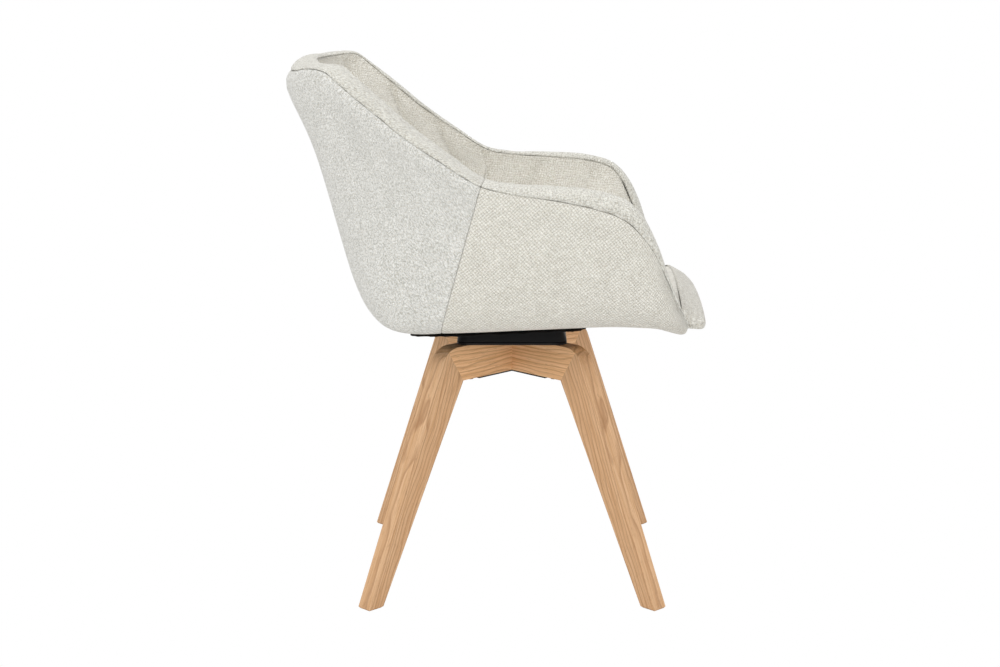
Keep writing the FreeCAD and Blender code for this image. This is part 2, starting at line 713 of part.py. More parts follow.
def make_seat_fasteners():
    bolts = []
    nuts = []
    for index, spot in enumerate(seat_bolt_spots()):
        head = leaning_cylinder("seat_bolt_head_%d" % index, "Sizes.seat_bolt_head", spot,
                                "-Sizes.bracket_wall - Sizes.seat_bolt_head_height",
                                "Sizes.seat_bolt_head_height")
        shank = leaning_cylinder("seat_bolt_shank_%d" % index, "Sizes.seat_bolt_diameter", spot,
                                 "-Sizes.bracket_wall - 0.5",
                                 "Sizes.bracket_wall + Sizes.board_thickness + 0.5")
        bolts.append(fused("seat_bolt_%d" % index, [head, shank]))
        flange = leaning_cylinder("tee_flange_%d" % index, "Sizes.tee_flange", spot,
                                  "Sizes.board_thickness - Sizes.tee_flange_thickness",
                                  "Sizes.tee_flange_thickness")
        barrel = leaning_cylinder("tee_barrel_%d" % index, "Sizes.tee_barrel", spot, "1",
                                  "Sizes.board_thickness - 1")
        thread = leaning_cylinder("tee_thread_%d" % index,
                                  "Sizes.seat_bolt_diameter + 2 * Sizes.screw_clearance", spot, "0",
                                  "Sizes.board_thickness + 10")
        nuts.append(cut("tee_nut_%d" % index, fused("tee_body_%d" % index, [flange, barrel]), [thread]))
    keep(group("seat_bolt_set", bolts), "seat_bolts")
    keep(group("tee_nut_set", nuts), "tee_nuts")


def make_board():
    body = new_body("seat_board")
    sketch = new_sketch(body, "seat_board_outline", "XY")
    corners = [("-Sizes.board_rear", "-Sizes.board_half_width"), ("Places.board_front", "-Sizes.board_half_width"),
               ("Places.board_front", "Sizes.board_half_width"), ("-Sizes.board_rear", "Sizes.board_half_width")]
    outline(sketch, corners)
    shape = pad(body, sketch, "Sizes.board_thickness")
    rear = runs_along(V(0, 0, 1), lambda middle: middle.x < 0)
    front = runs_along(V(0, 0, 1), lambda middle: abs(middle.x - place("board_front")) < 0.5)
    shape = round_edges(body, shape, "seat_board_rear_corners", "Sizes.board_rear_corner", rear)
    round_edges(body, shape, "seat_board_front_corners", "Sizes.board_front_corner", front)
    holes = new_sketch(body, "seat_board_holes", "XY", "Sizes.board_thickness")
    recesses = new_sketch(body, "seat_board_recesses", "XY", "Sizes.board_thickness")
    reach = "Sizes.seat_bolt_spacing / 2"
    for x, y in ((1, 1), (-1, 1), (-1, -1), (1, -1)):
        centre = ("%d * %s" % (x, reach), "%d * %s" % (y, reach))
        circle(holes, *centre, "Sizes.tee_barrel + 2 * Sizes.screw_clearance")
        circle(recesses, *centre, "Sizes.tee_flange + 2 * Sizes.screw_clearance")
    pocket(body, recesses, "Sizes.tee_flange_thickness + 0.05")
    pocket(body, holes)
    body.Placement = lean()
    keep(body, "seat_board")

    cover = new_body("dust_cover")
    gap = "(Sizes.cover_thickness + Sizes.hem_gap + Sizes.layer_gap)"
    sketch = new_sketch(cover, "dust_cover_outline", "XY", "-%s - Sizes.dust_cover_thickness" % gap)
    inset = "Sizes.dust_cover_margin"
    outline(sketch, [("-Sizes.board_rear + " + inset, "-Sizes.board_half_width + " + inset),
                     ("Places.board_front - " + inset, "-Sizes.board_half_width + " + inset),
                     ("Places.board_front - " + inset, "Sizes.board_half_width - " + inset),
                     ("-Sizes.board_rear + " + inset, "Sizes.board_half_width - " + inset)])
    shape = pad(cover, sketch, "Sizes.dust_cover_thickness")
    shape = round_edges(cover, shape, "dust_cover_corners",
                        "Sizes.board_rear_corner - " + inset, rear)
    window = new_sketch(cover, "dust_cover_window", "XY", "0")
    half = "(Sizes.bracket_top_side / 2 + 4)"
    outline(window, [("-" + half, "-" + half), (half, "-" + half), (half, half), ("-" + half, half)])
    pocket(cover, window)
    cover.Placement = lean()
    keep(cover, "dust_cover")


def board_plane(x, above=0.0):
    """Height of the board's underside at a distance in front of the axis."""
    return place("board_height") + x * math.tan(math.radians(size("seat_rake"))) + above


# The upholstered shell is drawn at stations along its rim, from the middle of the back round to
# the foot of one arm, and mirrored. A station gives the seam under the rim, the hem under the
# board, how far the inner edge of the rim stands above the seam, the height of the rim's crown,
# and the lean of the wall. Lengths along X are shares of the reach they end at, and lengths
# across are shares of the half width they end at, so that the table only holds the shape.

def back(share):
    return -share * size("back_reach")


def nose(share):
    return share * size("nose_reach")


def arm_foot(share):
    return size("nose_reach") + share * (size("foot_of_arm_reach") - size("nose_reach"))


def corner_side(share):
    return share * size("back_half_width")


def arm_side(share):
    return size("back_half_width") + share * (size("arm_half_width") - size("back_half_width"))


def nose_side(share):
    return size("arm_half_width") + share * (size("nose_half_width") - size("arm_half_width"))


def back_rise(share):
    return size("seam_arm_height") + share * (size("seam_back_height") - size("seam_arm_height"))


def arm_drop(share):
    return size("seam_arm_height") - share * (size("seam_arm_height") - size("foot_of_arm_height"))


def hem_x(share):
    return share * (size("hem_rear") if share < 0 else size("hem_front"))


def hem_y(share):
    return share * size("hem_half_width")


def station_rows():
    rows = [
        # seam forwards, seam sideways, seam height, hem forwards, hem sideways, hem sag,
        # inner rise, crown, lean of the wall, swell of the outside
        (back(1.000), corner_side(0.00), back_rise(1.020), hem_x(-1.00), hem_y(0.00), 0, 16, 9, 0.290, 19.0),
        (back(0.989), corner_side(0.28), back_rise(1.028), hem_x(-1.00), hem_y(0.25), 0, 13, 8, 0.290, 18.0),
        (back(0.955), corner_side(0.53), back_rise(1.050), hem_x(-1.00), hem_y(0.50), 0, 8, 6, 0.290, 15.0),
        (back(0.890), corner_side(0.71), back_rise(1.085), hem_x(-0.98), hem_y(0.72), 0, 3, 4, 0.280, 10.0),
        (back(0.810), corner_side(0.83), back_rise(1.060), hem_x(-0.93), hem_y(0.86), 0, 5, 6, 0.250, 7.0),
        (back(0.714), corner_side(0.92), back_rise(0.905), hem_x(-0.86), hem_y(0.95), 0, 11, 8, 0.200, 4.0),
        (back(0.600), corner_side(0.97), back_rise(0.720), hem_x(-0.79), hem_y(0.99), 0, 14, 9, 0.150, 3.0),
        (back(0.457), arm_side(0.10), back_rise(0.490), hem_x(-0.73), hem_y(1.00), 0, 11, 8, 0.110, 2.5),
        (back(0.286), arm_side(0.50), back_rise(0.262), hem_x(-0.67), hem_y(1.00), 0, 7, 6, 0.080, 2.0),
        (back(0.134), arm_side(0.78), back_rise(0.080), hem_x(-0.61), hem_y(1.00), 0, 5, 5, 0.060, 2.0),
        (nose(0.000), arm_side(0.92), back_rise(0.018), hem_x(-0.28), hem_y(1.00), 0, 7, 7, 0.050, 2.0),
        (nose(0.316), arm_side(1.00), arm_drop(0.029), hem_x(0.13), hem_y(1.00), 0, 12, 10, 0.050, 2.0),
        (nose(0.632), nose_side(0.42), arm_drop(0.083), hem_x(0.41), hem_y(1.01), 0, 17, 13, 0.060, 2.0),
        (nose(0.868), nose_side(0.84), arm_drop(0.154), hem_x(0.61), hem_y(1.02), 0, 17, 14, 0.080, 2.0),
        (nose(1.000), nose_side(1.00), arm_drop(0.254), hem_x(0.75), hem_y(1.04), 1, 14, 13, 0.100, 2.0),
        (arm_foot(0.280), nose_side(0.90), arm_drop(0.400), hem_x(0.84), hem_y(1.07), 2, 8, 11, 0.130, 1.5),
        (arm_foot(0.512), nose_side(0.68), arm_drop(0.595), hem_x(0.91), hem_y(1.11), 4, 4, 9, 0.170, 1.0),
        (arm_foot(0.732), nose_side(0.26), arm_drop(0.790), hem_x(0.96), hem_y(1.15), 7, 2, 7, 0.200, 0.5),
        (arm_foot(0.951), nose_side(-0.26), arm_drop(0.961), hem_x(1.01), hem_y(1.20), 9, 0, 5, 0.220, 0.0),
    ]
    keys = ("x", "y", "z", "hem_x", "hem_y", "sag", "inner_rise", "crown", "lean", "swell")
    return [dict(zip(keys, row)) for row in rows]


BACK_TO_SIDE = 9


def wall_depth():
    return size("cover_thickness") + size("core_thickness") + size("pad_thickness") + 2 * size("layer_gap")


class Station:
    """One section of the wall: its outer face rises from hem to seam as a cubic curve, square to the
    rim as seen from above, and drifts along the rim in step with its height."""

    def __init__(self, row, side, forward):
        self.seam = V(row["x"], side * row["y"], row["z"])
        under = size("cover_thickness") + size("hem_gap") + row["sag"]
        self.hem = V(row["hem_x"], side * row["hem_y"], board_plane(row["hem_x"], -under))
        self.inner_rise = row["inner_rise"]
        self.crown = row["crown"]
        self.swell = row["swell"]
        self.out = V(forward.y, -forward.x, 0).normalize()
        span = self.seam - self.hem
        self.run = span.dot(self.out)
        self.rise = span.z
        self.drift = span - self.out * self.run - V(0, 0, self.rise)
        start = min(size("wall_lean_start"), 0.42 * self.rise)
        roll = min(size("hem_roll"), 0.8 * self.run)
        knee = self.run - row["lean"] * (self.rise - start)
        self.ends = [(0.0, 0.0), (roll, 0.0), (knee, start), (self.run, self.rise)]

    def outer(self, share):
        """Distance out from the hem and height above it, at a share of the curve. The outside
        swells just under the seam."""
        weights = ((1 - share) ** 3, 3 * share * (1 - share) ** 2, 3 * share ** 2 * (1 - share), share ** 3)
        out, up = (sum(w * end[axis] for w, end in zip(weights, self.ends)) for axis in (0, 1))
        height = up / self.rise
        most = 0.032
        return out + self.swell * height ** 11 * (1.0 - height) / most, up

    def inward(self, share):
        """Direction through the wall: square to the hem's curve below, along the rim's slope above."""
        low, high = self.outer(max(share - 0.01, 0.0)), self.outer(min(share + 0.01, 1.0))
        along = (high[0] - low[0], high[1] - low[1])
        length = math.hypot(*along)
        rise = self.inner_rise / wall_depth()
        slope = (-math.sqrt(1.0 - rise ** 2), rise)
        square = (-along[1] / length, along[0] / length)
        blend = share ** 0.7
        mixed = [blend * a + (1 - blend) * b for a, b in zip(slope, square)]
        scale = math.hypot(*mixed)
        return mixed[0] / scale, mixed[1] / scale

    def point(self, share, depth):
        """A point of the wall at a depth inwards from its outer face."""
        out, up = self.outer(share)
        way = self.inward(share)
        face = self.hem + self.out * out + self.drift * (up / self.rise) + V(0, 0, up)
        return face + self.out * (depth * way[0]) + V(0, 0, depth * way[1])

    def inner_edge(self):
        return self.point(1.0, wall_depth())


def make_chain():
    """All stations, from the foot of the right arm round the back to the foot of the left arm."""
    rows = station_rows()
    placed = [(row, -1) for row in reversed(rows)] + [(row, 1) for row in rows[1:]]
    chain = []
    for index, (row, side) in enumerate(placed):
        ahead, ahead_side = placed[min(index + 1, len(placed) - 1)]
        behind, behind_side = placed[max(index - 1, 0)]
        forward = V(ahead["x"] - behind["x"], ahead_side * ahead["y"] - behind_side * behind["y"], 0)
        chain.append(Station(row, side, forward * -1.0))
    return chain


def spacing(chain):
    """A running measure along the rim, one value per station."""
    steps = [0.0]
    for behind, ahead in zip(chain, chain[1:]):
        steps.append(steps[-1] + math.sqrt((ahead.seam - behind.seam).Length))
    return steps


def slopes(points, knots):
    """Directions of travel through a row of points, at the given knots."""
    gaps = [b - a for a, b in zip(knots, knots[1:])]
    steps = [(b - a) * (1.0 / gap) for a, b, gap in zip(points, points[1:], gaps)]
    middle = [(steps[i] * gaps[i + 1] + steps[i + 1] * gaps[i]) * (1.0 / (gaps[i] + gaps[i + 1]))
              for i in range(len(gaps) - 1)]
    first = steps[0] * 1.5 - middle[0] * 0.5
    last = steps[-1] * 1.5 - middle[-1] * 0.5
    return [first] + middle + [last]


def control_points(points, knots, first, last):
    """Control points of the smooth curve through a row of points, between two of them."""
    ways = slopes(points, knots)
    controls = [points[first]]
    for i in range(first, last):
        third = (knots[i + 1] - knots[i]) / 3.0
        controls += [points[i] + ways[i] * third, points[i + 1] - ways[i + 1] * third]
    return controls + [points[last]]


def doubled(count):
    return [4] + [2] * (count - 2) + [4]


def skin(grid, knots, first, last):
    """Smooth face through a grid of points, cut out between two of its rows."""
    across = list(range(len(grid[0])))
    rows = [control_points(row, across, 0, across[-1]) for row in grid]
    columns = [control_points(list(column), knots, first, last) for column in zip(*rows)]
    poles = [list(row) for row in zip(*columns)]
    chosen = knots[first:last + 1]
    face = Part.BSplineSurface()
    face.buildFromPolesMultsKnots(poles, doubled(len(chosen)), doubled(len(across)), chosen, across,
                                  False, False, 3, 3)
    return face


def closed_solid(outer, inner, with_edges):
    """Solid between two faces, closed by ruled strips at the ends and, where asked, at the edges."""
    first, last, low, high = outer.bounds()
    faces = [outer.toShape(), inner.toShape()]
    for at in (first, last):
        faces.append(Part.makeRuledSurface(outer.uIso(at).toShape(), inner.uIso(at).toShape()))
    if with_edges:
        for at in (low, high):
            faces.append(Part.makeRuledSurface(outer.vIso(at).toShape(), inner.vIso(at).toShape()))
    shell = Part.makeShell(faces)
    shell.sewShape()
    solid = Part.makeSolid(shell)
    if solid.Volume < 0:
        solid.reverse()
    return solid


def add_shape(label, shape):
    piece = doc.addObject("Part::Feature", label)
    piece.Shape = shape
    return keep(piece, label)


def wall_grid(chain, low, depth):
    shares = [i / 20 for i in range(round(20 * low), 21)]
    return [[station.point(share, depth) for share in shares] for station in chain]


def make_walls(chain, low, outside, inside, pieces):
    """Pieces of one layer of the wall, each between two stations."""
    knots = spacing(chain)
    outer, inner = wall_grid(chain, low, outside), wall_grid(chain, low, inside)
    for label, first, last in pieces:
        add_shape(label, closed_solid(skin(outer, knots, first, last), skin(inner, knots, first, last), True))


def rim_rise_way(chain, index):
    """Square to the rim's path and to its width, on the open side."""
    ahead = chain[min(index + 1, len(chain) - 1)].seam
    behind = chain[max(index - 1, 0)].seam
    across = chain[index].inner_edge() - chain[index].seam
    way = (ahead - behind).cross(across).normalize()
    return way if way.x * 0.5 + way.z > 0 else way * -1.0


def rim_grid(chain, with_crown):
    """Points of the rim across its width, on its crown or on its flat foot."""
    grid = []
    for index, station in enumerate(chain):
        way = rim_rise_way(chain, index)
        across = station.inner_edge() - station.seam
        row = []
        for turn in (math.pi * i / 8 for i in range(9)):
            share = (1.0 - math.cos(turn)) / 2.0
            rise = size("layer_gap") + (station.crown * math.sin(turn) ** 0.8 if with_crown else 0.0)
            row.append(station.seam + across * share + way * rise)
        grid.append(row)
    return grid


def make_rims(chain, pieces):
    knots = spacing(chain)
    crown, foot = rim_grid(chain, True), rim_grid(chain, False)
    for label, first, last in pieces:
        add_shape(label, closed_solid(skin(crown, knots, first, last), skin(foot, knots, first, last), False))


def make_shell():
    chain = make_chain()
    end = len(chain) - 1
    right_seam, left_seam = end // 2 - BACK_TO_SIDE, end // 2 + BACK_TO_SIDE
    gap = size("layer_gap")
    cover = size("cover_thickness")
    core_in = cover + gap + size("core_thickness")
    make_walls(chain, 0.0, 0.0, cover, [("outer_side_cover_right", 0, right_seam),
                                        ("outer_back_cover", right_seam, left_seam),
                                        ("outer_side_cover_left", left_seam, end)])
    make_walls(chain, 0.2, cover + gap, core_in, [("moulded_shell", 1, end - 1)])
    make_walls(chain, 0.4, core_in + gap, wall_depth(), [("inner_arm_pad_right", 2, right_seam),
                                                          ("inner_back_pad", right_seam, left_seam),
                                                          ("inner_arm_pad_left", left_seam, end - 2)])
    make_rims(chain, [("rim_right", 1, right_seam), ("rim_back", right_seam, left_seam),
                      ("rim_left", left_seam, end - 1)])


# The cushion is drawn in upright sections that run from back to front, set side by side

ACROSS = [-1.0, -0.965, -0.92, -0.86, -0.76, -0.6, -0.3, 0.0, 0.3, 0.6, 0.76, 0.86, 0.92, 0.965, 1.0]


def inside_line(chain):
    """Inside of the moulded shell in plan, just above the board, from the middle of the back forwards."""
    depth = size("cover_thickness") + size("core_thickness") + 6 * size("layer_gap")
    line = []
    for station in chain[len(chain) // 2:-1]:
        share = 0.0
        while station.point(share, depth).z < board_plane(station.hem.x, size("cushion_side_height")):
            share += 0.01
        line.append(station.point(share, depth))
    return line


def rear_at(line, y):
    """How far back the inside line is, at a distance from the middle plane."""
    for behind, ahead in zip(line, line[1:]):
        if behind.y <= y <= ahead.y:
            return behind.x + (ahead.x - behind.x) * (y - behind.y) / (ahead.y - behind.y)
    return line[-1].x


def cushion_top(x, across):
    """Height of the cushion's top: leaning with the board and crowned across."""
    rake = math.tan(math.radians(size("seat_rake")))
    drop = size("cushion_side_drop") * across ** 2 + 6.0 * across ** 12
    return board_plane(place("board_front"), size("cushion_rise")) - (place("board_front") - x) * rake - drop


def cushion_section(across):
    """Points over the cushion from its rear foot to its front foot, and points under it."""
    line = inside_line(make_chain())
    widest = min(line[-1].y, size("cushion_half_width"))
    y = across * widest
    front = place("board_front") - size("cushion_front_margin")
    rear = min(rear_at(line, abs(y)), front - 40)
    low = size("board_thickness") + size("layer_gap")
    high = cushion_top(rear, across)
    foot = board_plane(rear, low)
    over = [V(rear + 8, y, board_plane(rear + 8, low)), V(rear, y, foot + 0.3 * (high - foot)),
            V(rear, y, foot + 0.7 * (high - foot)), V(rear + 7, y, high - 4)]
    for share in (0.2, 0.5, 0.8):
        x = rear + share * (front - rear)
        over.append(V(x, y, cushion_top(x, across) + (3 if share == 0.5 else 2)))
    high_front = cushion_top(front, across)
    over += [V(front - 4, y, high_front), V(front, y, high_front - 4), V(front, y, board_plane(front, low))]
    under = []
    for i in range(len(over)):
        x = over[0].x + (over[-1].x - over[0].x) * i / (len(over) - 1)
        under.append(V(x, y, board_plane(x, low)))
    return over, under


def front_roll_section(across):
    """Points round the roll from its top edge to its underside, and points down its back."""
    y = across * size("front_roll_half_width")
    back_x = place("board_front") + size("layer_gap")
    tuck = 5.0 * across ** 12
    nose_x = place("front_roll_nose") - 10 * across ** 2 - tuck
    nose_z = board_plane(place("board_front"), size("front_roll_nose_rise"))
    low = board_plane(place("board_front"), -size("front_roll_drop")) + tuck / 2
    high = cushion_top(place("board_front"), across) - tuck
    drop = high - nose_z
    run = nose_x - back_x
    round_way = [V(back_x, y, high), V(back_x + 0.34 * run, y, high - 0.24 * drop),
                 V(back_x + 0.64 * run, y, high - 0.50 * drop), V(back_x + 0.88 * run, y, high - 0.76 * drop),
                 V(nose_x, y, nose_z), V(nose_x - 2, y, nose_z - 0.5 * (nose_z - low)), V(nose_x - 10, y, low),
                 V((nose_x - 10 + back_x) / 2, y, low), V(back_x, y, low)]
    count = len(round_way) - 1
    down = [V(back_x, y, high + (low - high) * i / count) for i in range(count + 1)]
    return round_way, down


def make_cushion():
    knots = [2.0 + across for across in ACROSS]
    last = len(ACROSS) - 1
    for label, section in (("seat_cushion", cushion_section), ("front_roll", front_roll_section)):
        outer, inner = zip(*[section(across) for across in ACROSS])
        add_shape(label, closed_solid(skin(outer, knots, 0, last), skin(inner, knots, 0, last), False))


def check_and_write():
    doc.recompute()
    for piece in doc.Objects:
        state = getattr(piece, "State", [])
        if "Invalid" in state or "Error" in state:
            raise RuntimeError("%s failed: %s" % (piece.Label, state))
    for piece in PARTS:
        if piece.Shape.isNull() or not piece.Shape.isValid() or not piece.Shape.Solids:
            raise RuntimeError(piece.Label + " has no valid solid")
    os.makedirs("parts", exist_ok=True)
    for piece in PARTS:
        piece.Shape.exportStep("parts/%s.step" % piece.Label)
        print("%-24s %3d solids %12.0f mm3" % (piece.Label, len(piece.Shape.Solids), piece.Shape.Volume))


make_base()
make_fixed_turntable()
make_bearing()
make_turning_turntable()
make_seat_fasteners()
make_board()
make_shell()
make_cushion()
check_and_write()
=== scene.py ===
import math

import bpy
import numpy as np
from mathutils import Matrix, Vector


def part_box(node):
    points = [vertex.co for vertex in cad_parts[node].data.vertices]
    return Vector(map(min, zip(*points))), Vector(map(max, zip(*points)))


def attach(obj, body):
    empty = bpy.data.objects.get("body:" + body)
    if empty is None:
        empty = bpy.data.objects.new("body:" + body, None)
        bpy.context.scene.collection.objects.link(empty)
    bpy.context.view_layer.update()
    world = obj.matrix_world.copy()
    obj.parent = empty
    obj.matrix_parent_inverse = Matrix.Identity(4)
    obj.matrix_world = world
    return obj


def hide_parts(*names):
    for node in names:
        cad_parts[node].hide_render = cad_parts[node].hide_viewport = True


# Swivel dining chair. +X is the front of the seat and +Y its left arm. The upholstery is laid out
# in millimetres and becomes metres in add_mesh. Materials, camera, lights and floor are in metres.

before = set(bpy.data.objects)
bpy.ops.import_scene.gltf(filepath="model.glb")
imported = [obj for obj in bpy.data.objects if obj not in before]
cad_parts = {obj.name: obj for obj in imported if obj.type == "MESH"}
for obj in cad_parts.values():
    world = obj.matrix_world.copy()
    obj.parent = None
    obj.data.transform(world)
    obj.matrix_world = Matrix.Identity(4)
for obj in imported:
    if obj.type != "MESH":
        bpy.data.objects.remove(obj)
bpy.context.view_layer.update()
MM = 0.001
noise_source = np.random.default_rng(7)

# Sizes of the upholstered shell, in millimetres, as in the part's source

BOARD_HEIGHT = 441.0
BOARD_FRONT = 262.0
SEAT_RAKE = math.tan(math.radians(2.7))
COVER, CORE, PAD, LAYER_GAP, HEM_GAP = 4.0, 9.0, 30.0, 0.3, 1.4
WALL_DEPTH = COVER + CORE + PAD + 2 * LAYER_GAP
BACK_REACH, NOSE_REACH, ARM_FOOT_REACH = 350.0, 190.0, 272.0
SEAM_BACK, SEAM_ARM, ARM_FOOT_HEIGHT = 826.0, 657.0, 452.0
BACK_HALF, ARM_HALF, NOSE_HALF, HEM_HALF = 214.0, 245.0, 264.0, 168.0
HEM_REAR, HEM_FRONT, HEM_ROLL, LEAN_START = 178.0, 246.0, 84.0, 92.0
CUSHION_RISE, CUSHION_SIDE_DROP, CUSHION_HALF = 43.7, 30.0, 204.0
ROLL_NOSE, ROLL_NOSE_RISE, ROLL_DROP, ROLL_HALF = 307.0, 4.6, 5.6, 231.0


def board_plane(x, above=0.0):
    return BOARD_HEIGHT + x * SEAT_RAKE + above


def back(share):
    return -share * BACK_REACH


def nose(share):
    return share * NOSE_REACH


def arm_foot(share):
    return NOSE_REACH + share * (ARM_FOOT_REACH - NOSE_REACH)


def corner_side(share):
    return share * BACK_HALF


def arm_side(share):
    return BACK_HALF + share * (ARM_HALF - BACK_HALF)


def nose_side(share):
    return ARM_HALF + share * (NOSE_HALF - ARM_HALF)


def back_rise(share):
    return SEAM_ARM + share * (SEAM_BACK - SEAM_ARM)


def arm_drop(share):
    return SEAM_ARM - share * (SEAM_ARM - ARM_FOOT_HEIGHT)


def hem_x(share):
    return share * (HEM_REAR if share < 0 else HEM_FRONT)


def hem_y(share):
    return share * HEM_HALF


# Seam forwards, sideways and height, hem forwards, sideways and sag, inner rise, crown, lean, swell
ROWS = [
    (back(1.000), corner_side(0.00), back_rise(1.020), hem_x(-1.00), hem_y(0.00), 0, 16, 9, 0.290, 16.8),
    (back(0.989), corner_side(0.28), back_rise(1.028), hem_x(-1.00), hem_y(0.25), 0, 13, 8, 0.290, 16.0),
    (back(0.955), corner_side(0.53), back_rise(1.050), hem_x(-1.00), hem_y(0.50), 0, 8, 6, 0.290, 13.4),
    (back(0.890), corner_side(0.71), back_rise(1.085), hem_x(-0.98), hem_y(0.72), 0, 3, 4, 0.280, 10.0),
    (back(0.810), corner_side(0.83), back_rise(1.060), hem_x(-0.93), hem_y(0.86), 0, 5, 6, 0.250, 7.0),
    (back(0.714), corner_side(0.92), back_rise(0.905), hem_x(-0.86), hem_y(0.95), 0, 11, 8, 0.200, 4.0),
    (back(0.600), corner_side(0.97), back_rise(0.720), hem_x(-0.79), hem_y(0.99), 0, 14, 9, 0.150, 3.0),
    (back(0.457), arm_side(0.10), back_rise(0.490), hem_x(-0.73), hem_y(1.00), 0, 11, 8, 0.110, 2.5),
    (back(0.286), arm_side(0.50), back_rise(0.262), hem_x(-0.67), hem_y(1.00), 0, 7, 6, 0.080, 2.0),
    (back(0.134), arm_side(0.78), back_rise(0.080), hem_x(-0.61), hem_y(1.00), 0, 5, 5, 0.060, 2.0),
    (nose(0.000), arm_side(0.92), back_rise(0.018), hem_x(-0.28), hem_y(1.00), 0, 7, 7, 0.050, 2.0),
    (nose(0.316), arm_side(1.00), arm_drop(0.029), hem_x(0.13), hem_y(1.00), 0, 12, 10, 0.050, 2.0),
    (nose(0.632), nose_side(0.42), arm_drop(0.083), hem_x(0.41), hem_y(1.01), 0, 17, 13, 0.060, 2.0),
    (nose(0.868), nose_side(0.84), arm_drop(0.154), hem_x(0.61), hem_y(1.02), 0, 17, 14, 0.080, 2.0),
    (nose(1.000), nose_side(1.00), arm_drop(0.254), hem_x(0.75), hem_y(1.04), 1, 14, 13, 0.100, 2.0),
    (arm_foot(0.280), nose_side(0.90), arm_drop(0.400), hem_x(0.84), hem_y(1.07), 2, 8, 11, 0.130, 1.5),
    (arm_foot(0.512), nose_side(0.68), arm_drop(0.595), hem_x(0.91), hem_y(1.11), 4, 4, 9, 0.170, 1.0),
    (arm_foot(0.732), nose_side(0.26), arm_drop(0.790), hem_x(0.96), hem_y(1.15), 7, 2, 7, 0.200, 0.5),
    (arm_foot(0.951), nose_side(-0.26), arm_drop(0.961), hem_x(1.01), hem_y(1.20), 9, 0, 5, 0.220, 0.0),
]
MIDDLE = len(ROWS) - 1
BACK_TO_SIDE = 9
RIGHT_SEAM, LEFT_SEAM, END = MIDDLE - BACK_TO_SIDE, MIDDLE + BACK_TO_SIDE, 2 * MIDDLE

# How the wall's outline is rounded. The swell is a hump just below the rim
LEAN_START_SHARE, HEM_ROLL_SHARE = 0.42, 0.8
SWELL_POWER, SWELL_PEAK = 11, 0.032
SLOPE_STEP, INWARD_BLEND = 0.01, 0.7

# Turned-in lips of the rim, as a share of its width and a height in millimetres
RIM_LIP = ((0.22, -2.4), (0.16, -1.6), (0.08, -0.9), (0.025, -0.4))
RIM_ROUNDING, FRONT_WEIGHT = 0.85, 0.5


def cubic(t, start, end, start_way, end_way):
    """A smooth run between two values that leaves and arrives in given ways."""
    return ((2 * t ** 3 - 3 * t ** 2 + 1) * start + (t ** 3 - 2 * t ** 2 + t) * start_way
            + (3 * t ** 2 - 2 * t ** 3) * end + (t ** 3 - t ** 2) * end_way)


def neighbours(points):
    """The next and the previous point of each one, with the ends repeated."""
    return np.concatenate([points[1:], points[-1:]]), np.concatenate([points[:1], points[:-1]])


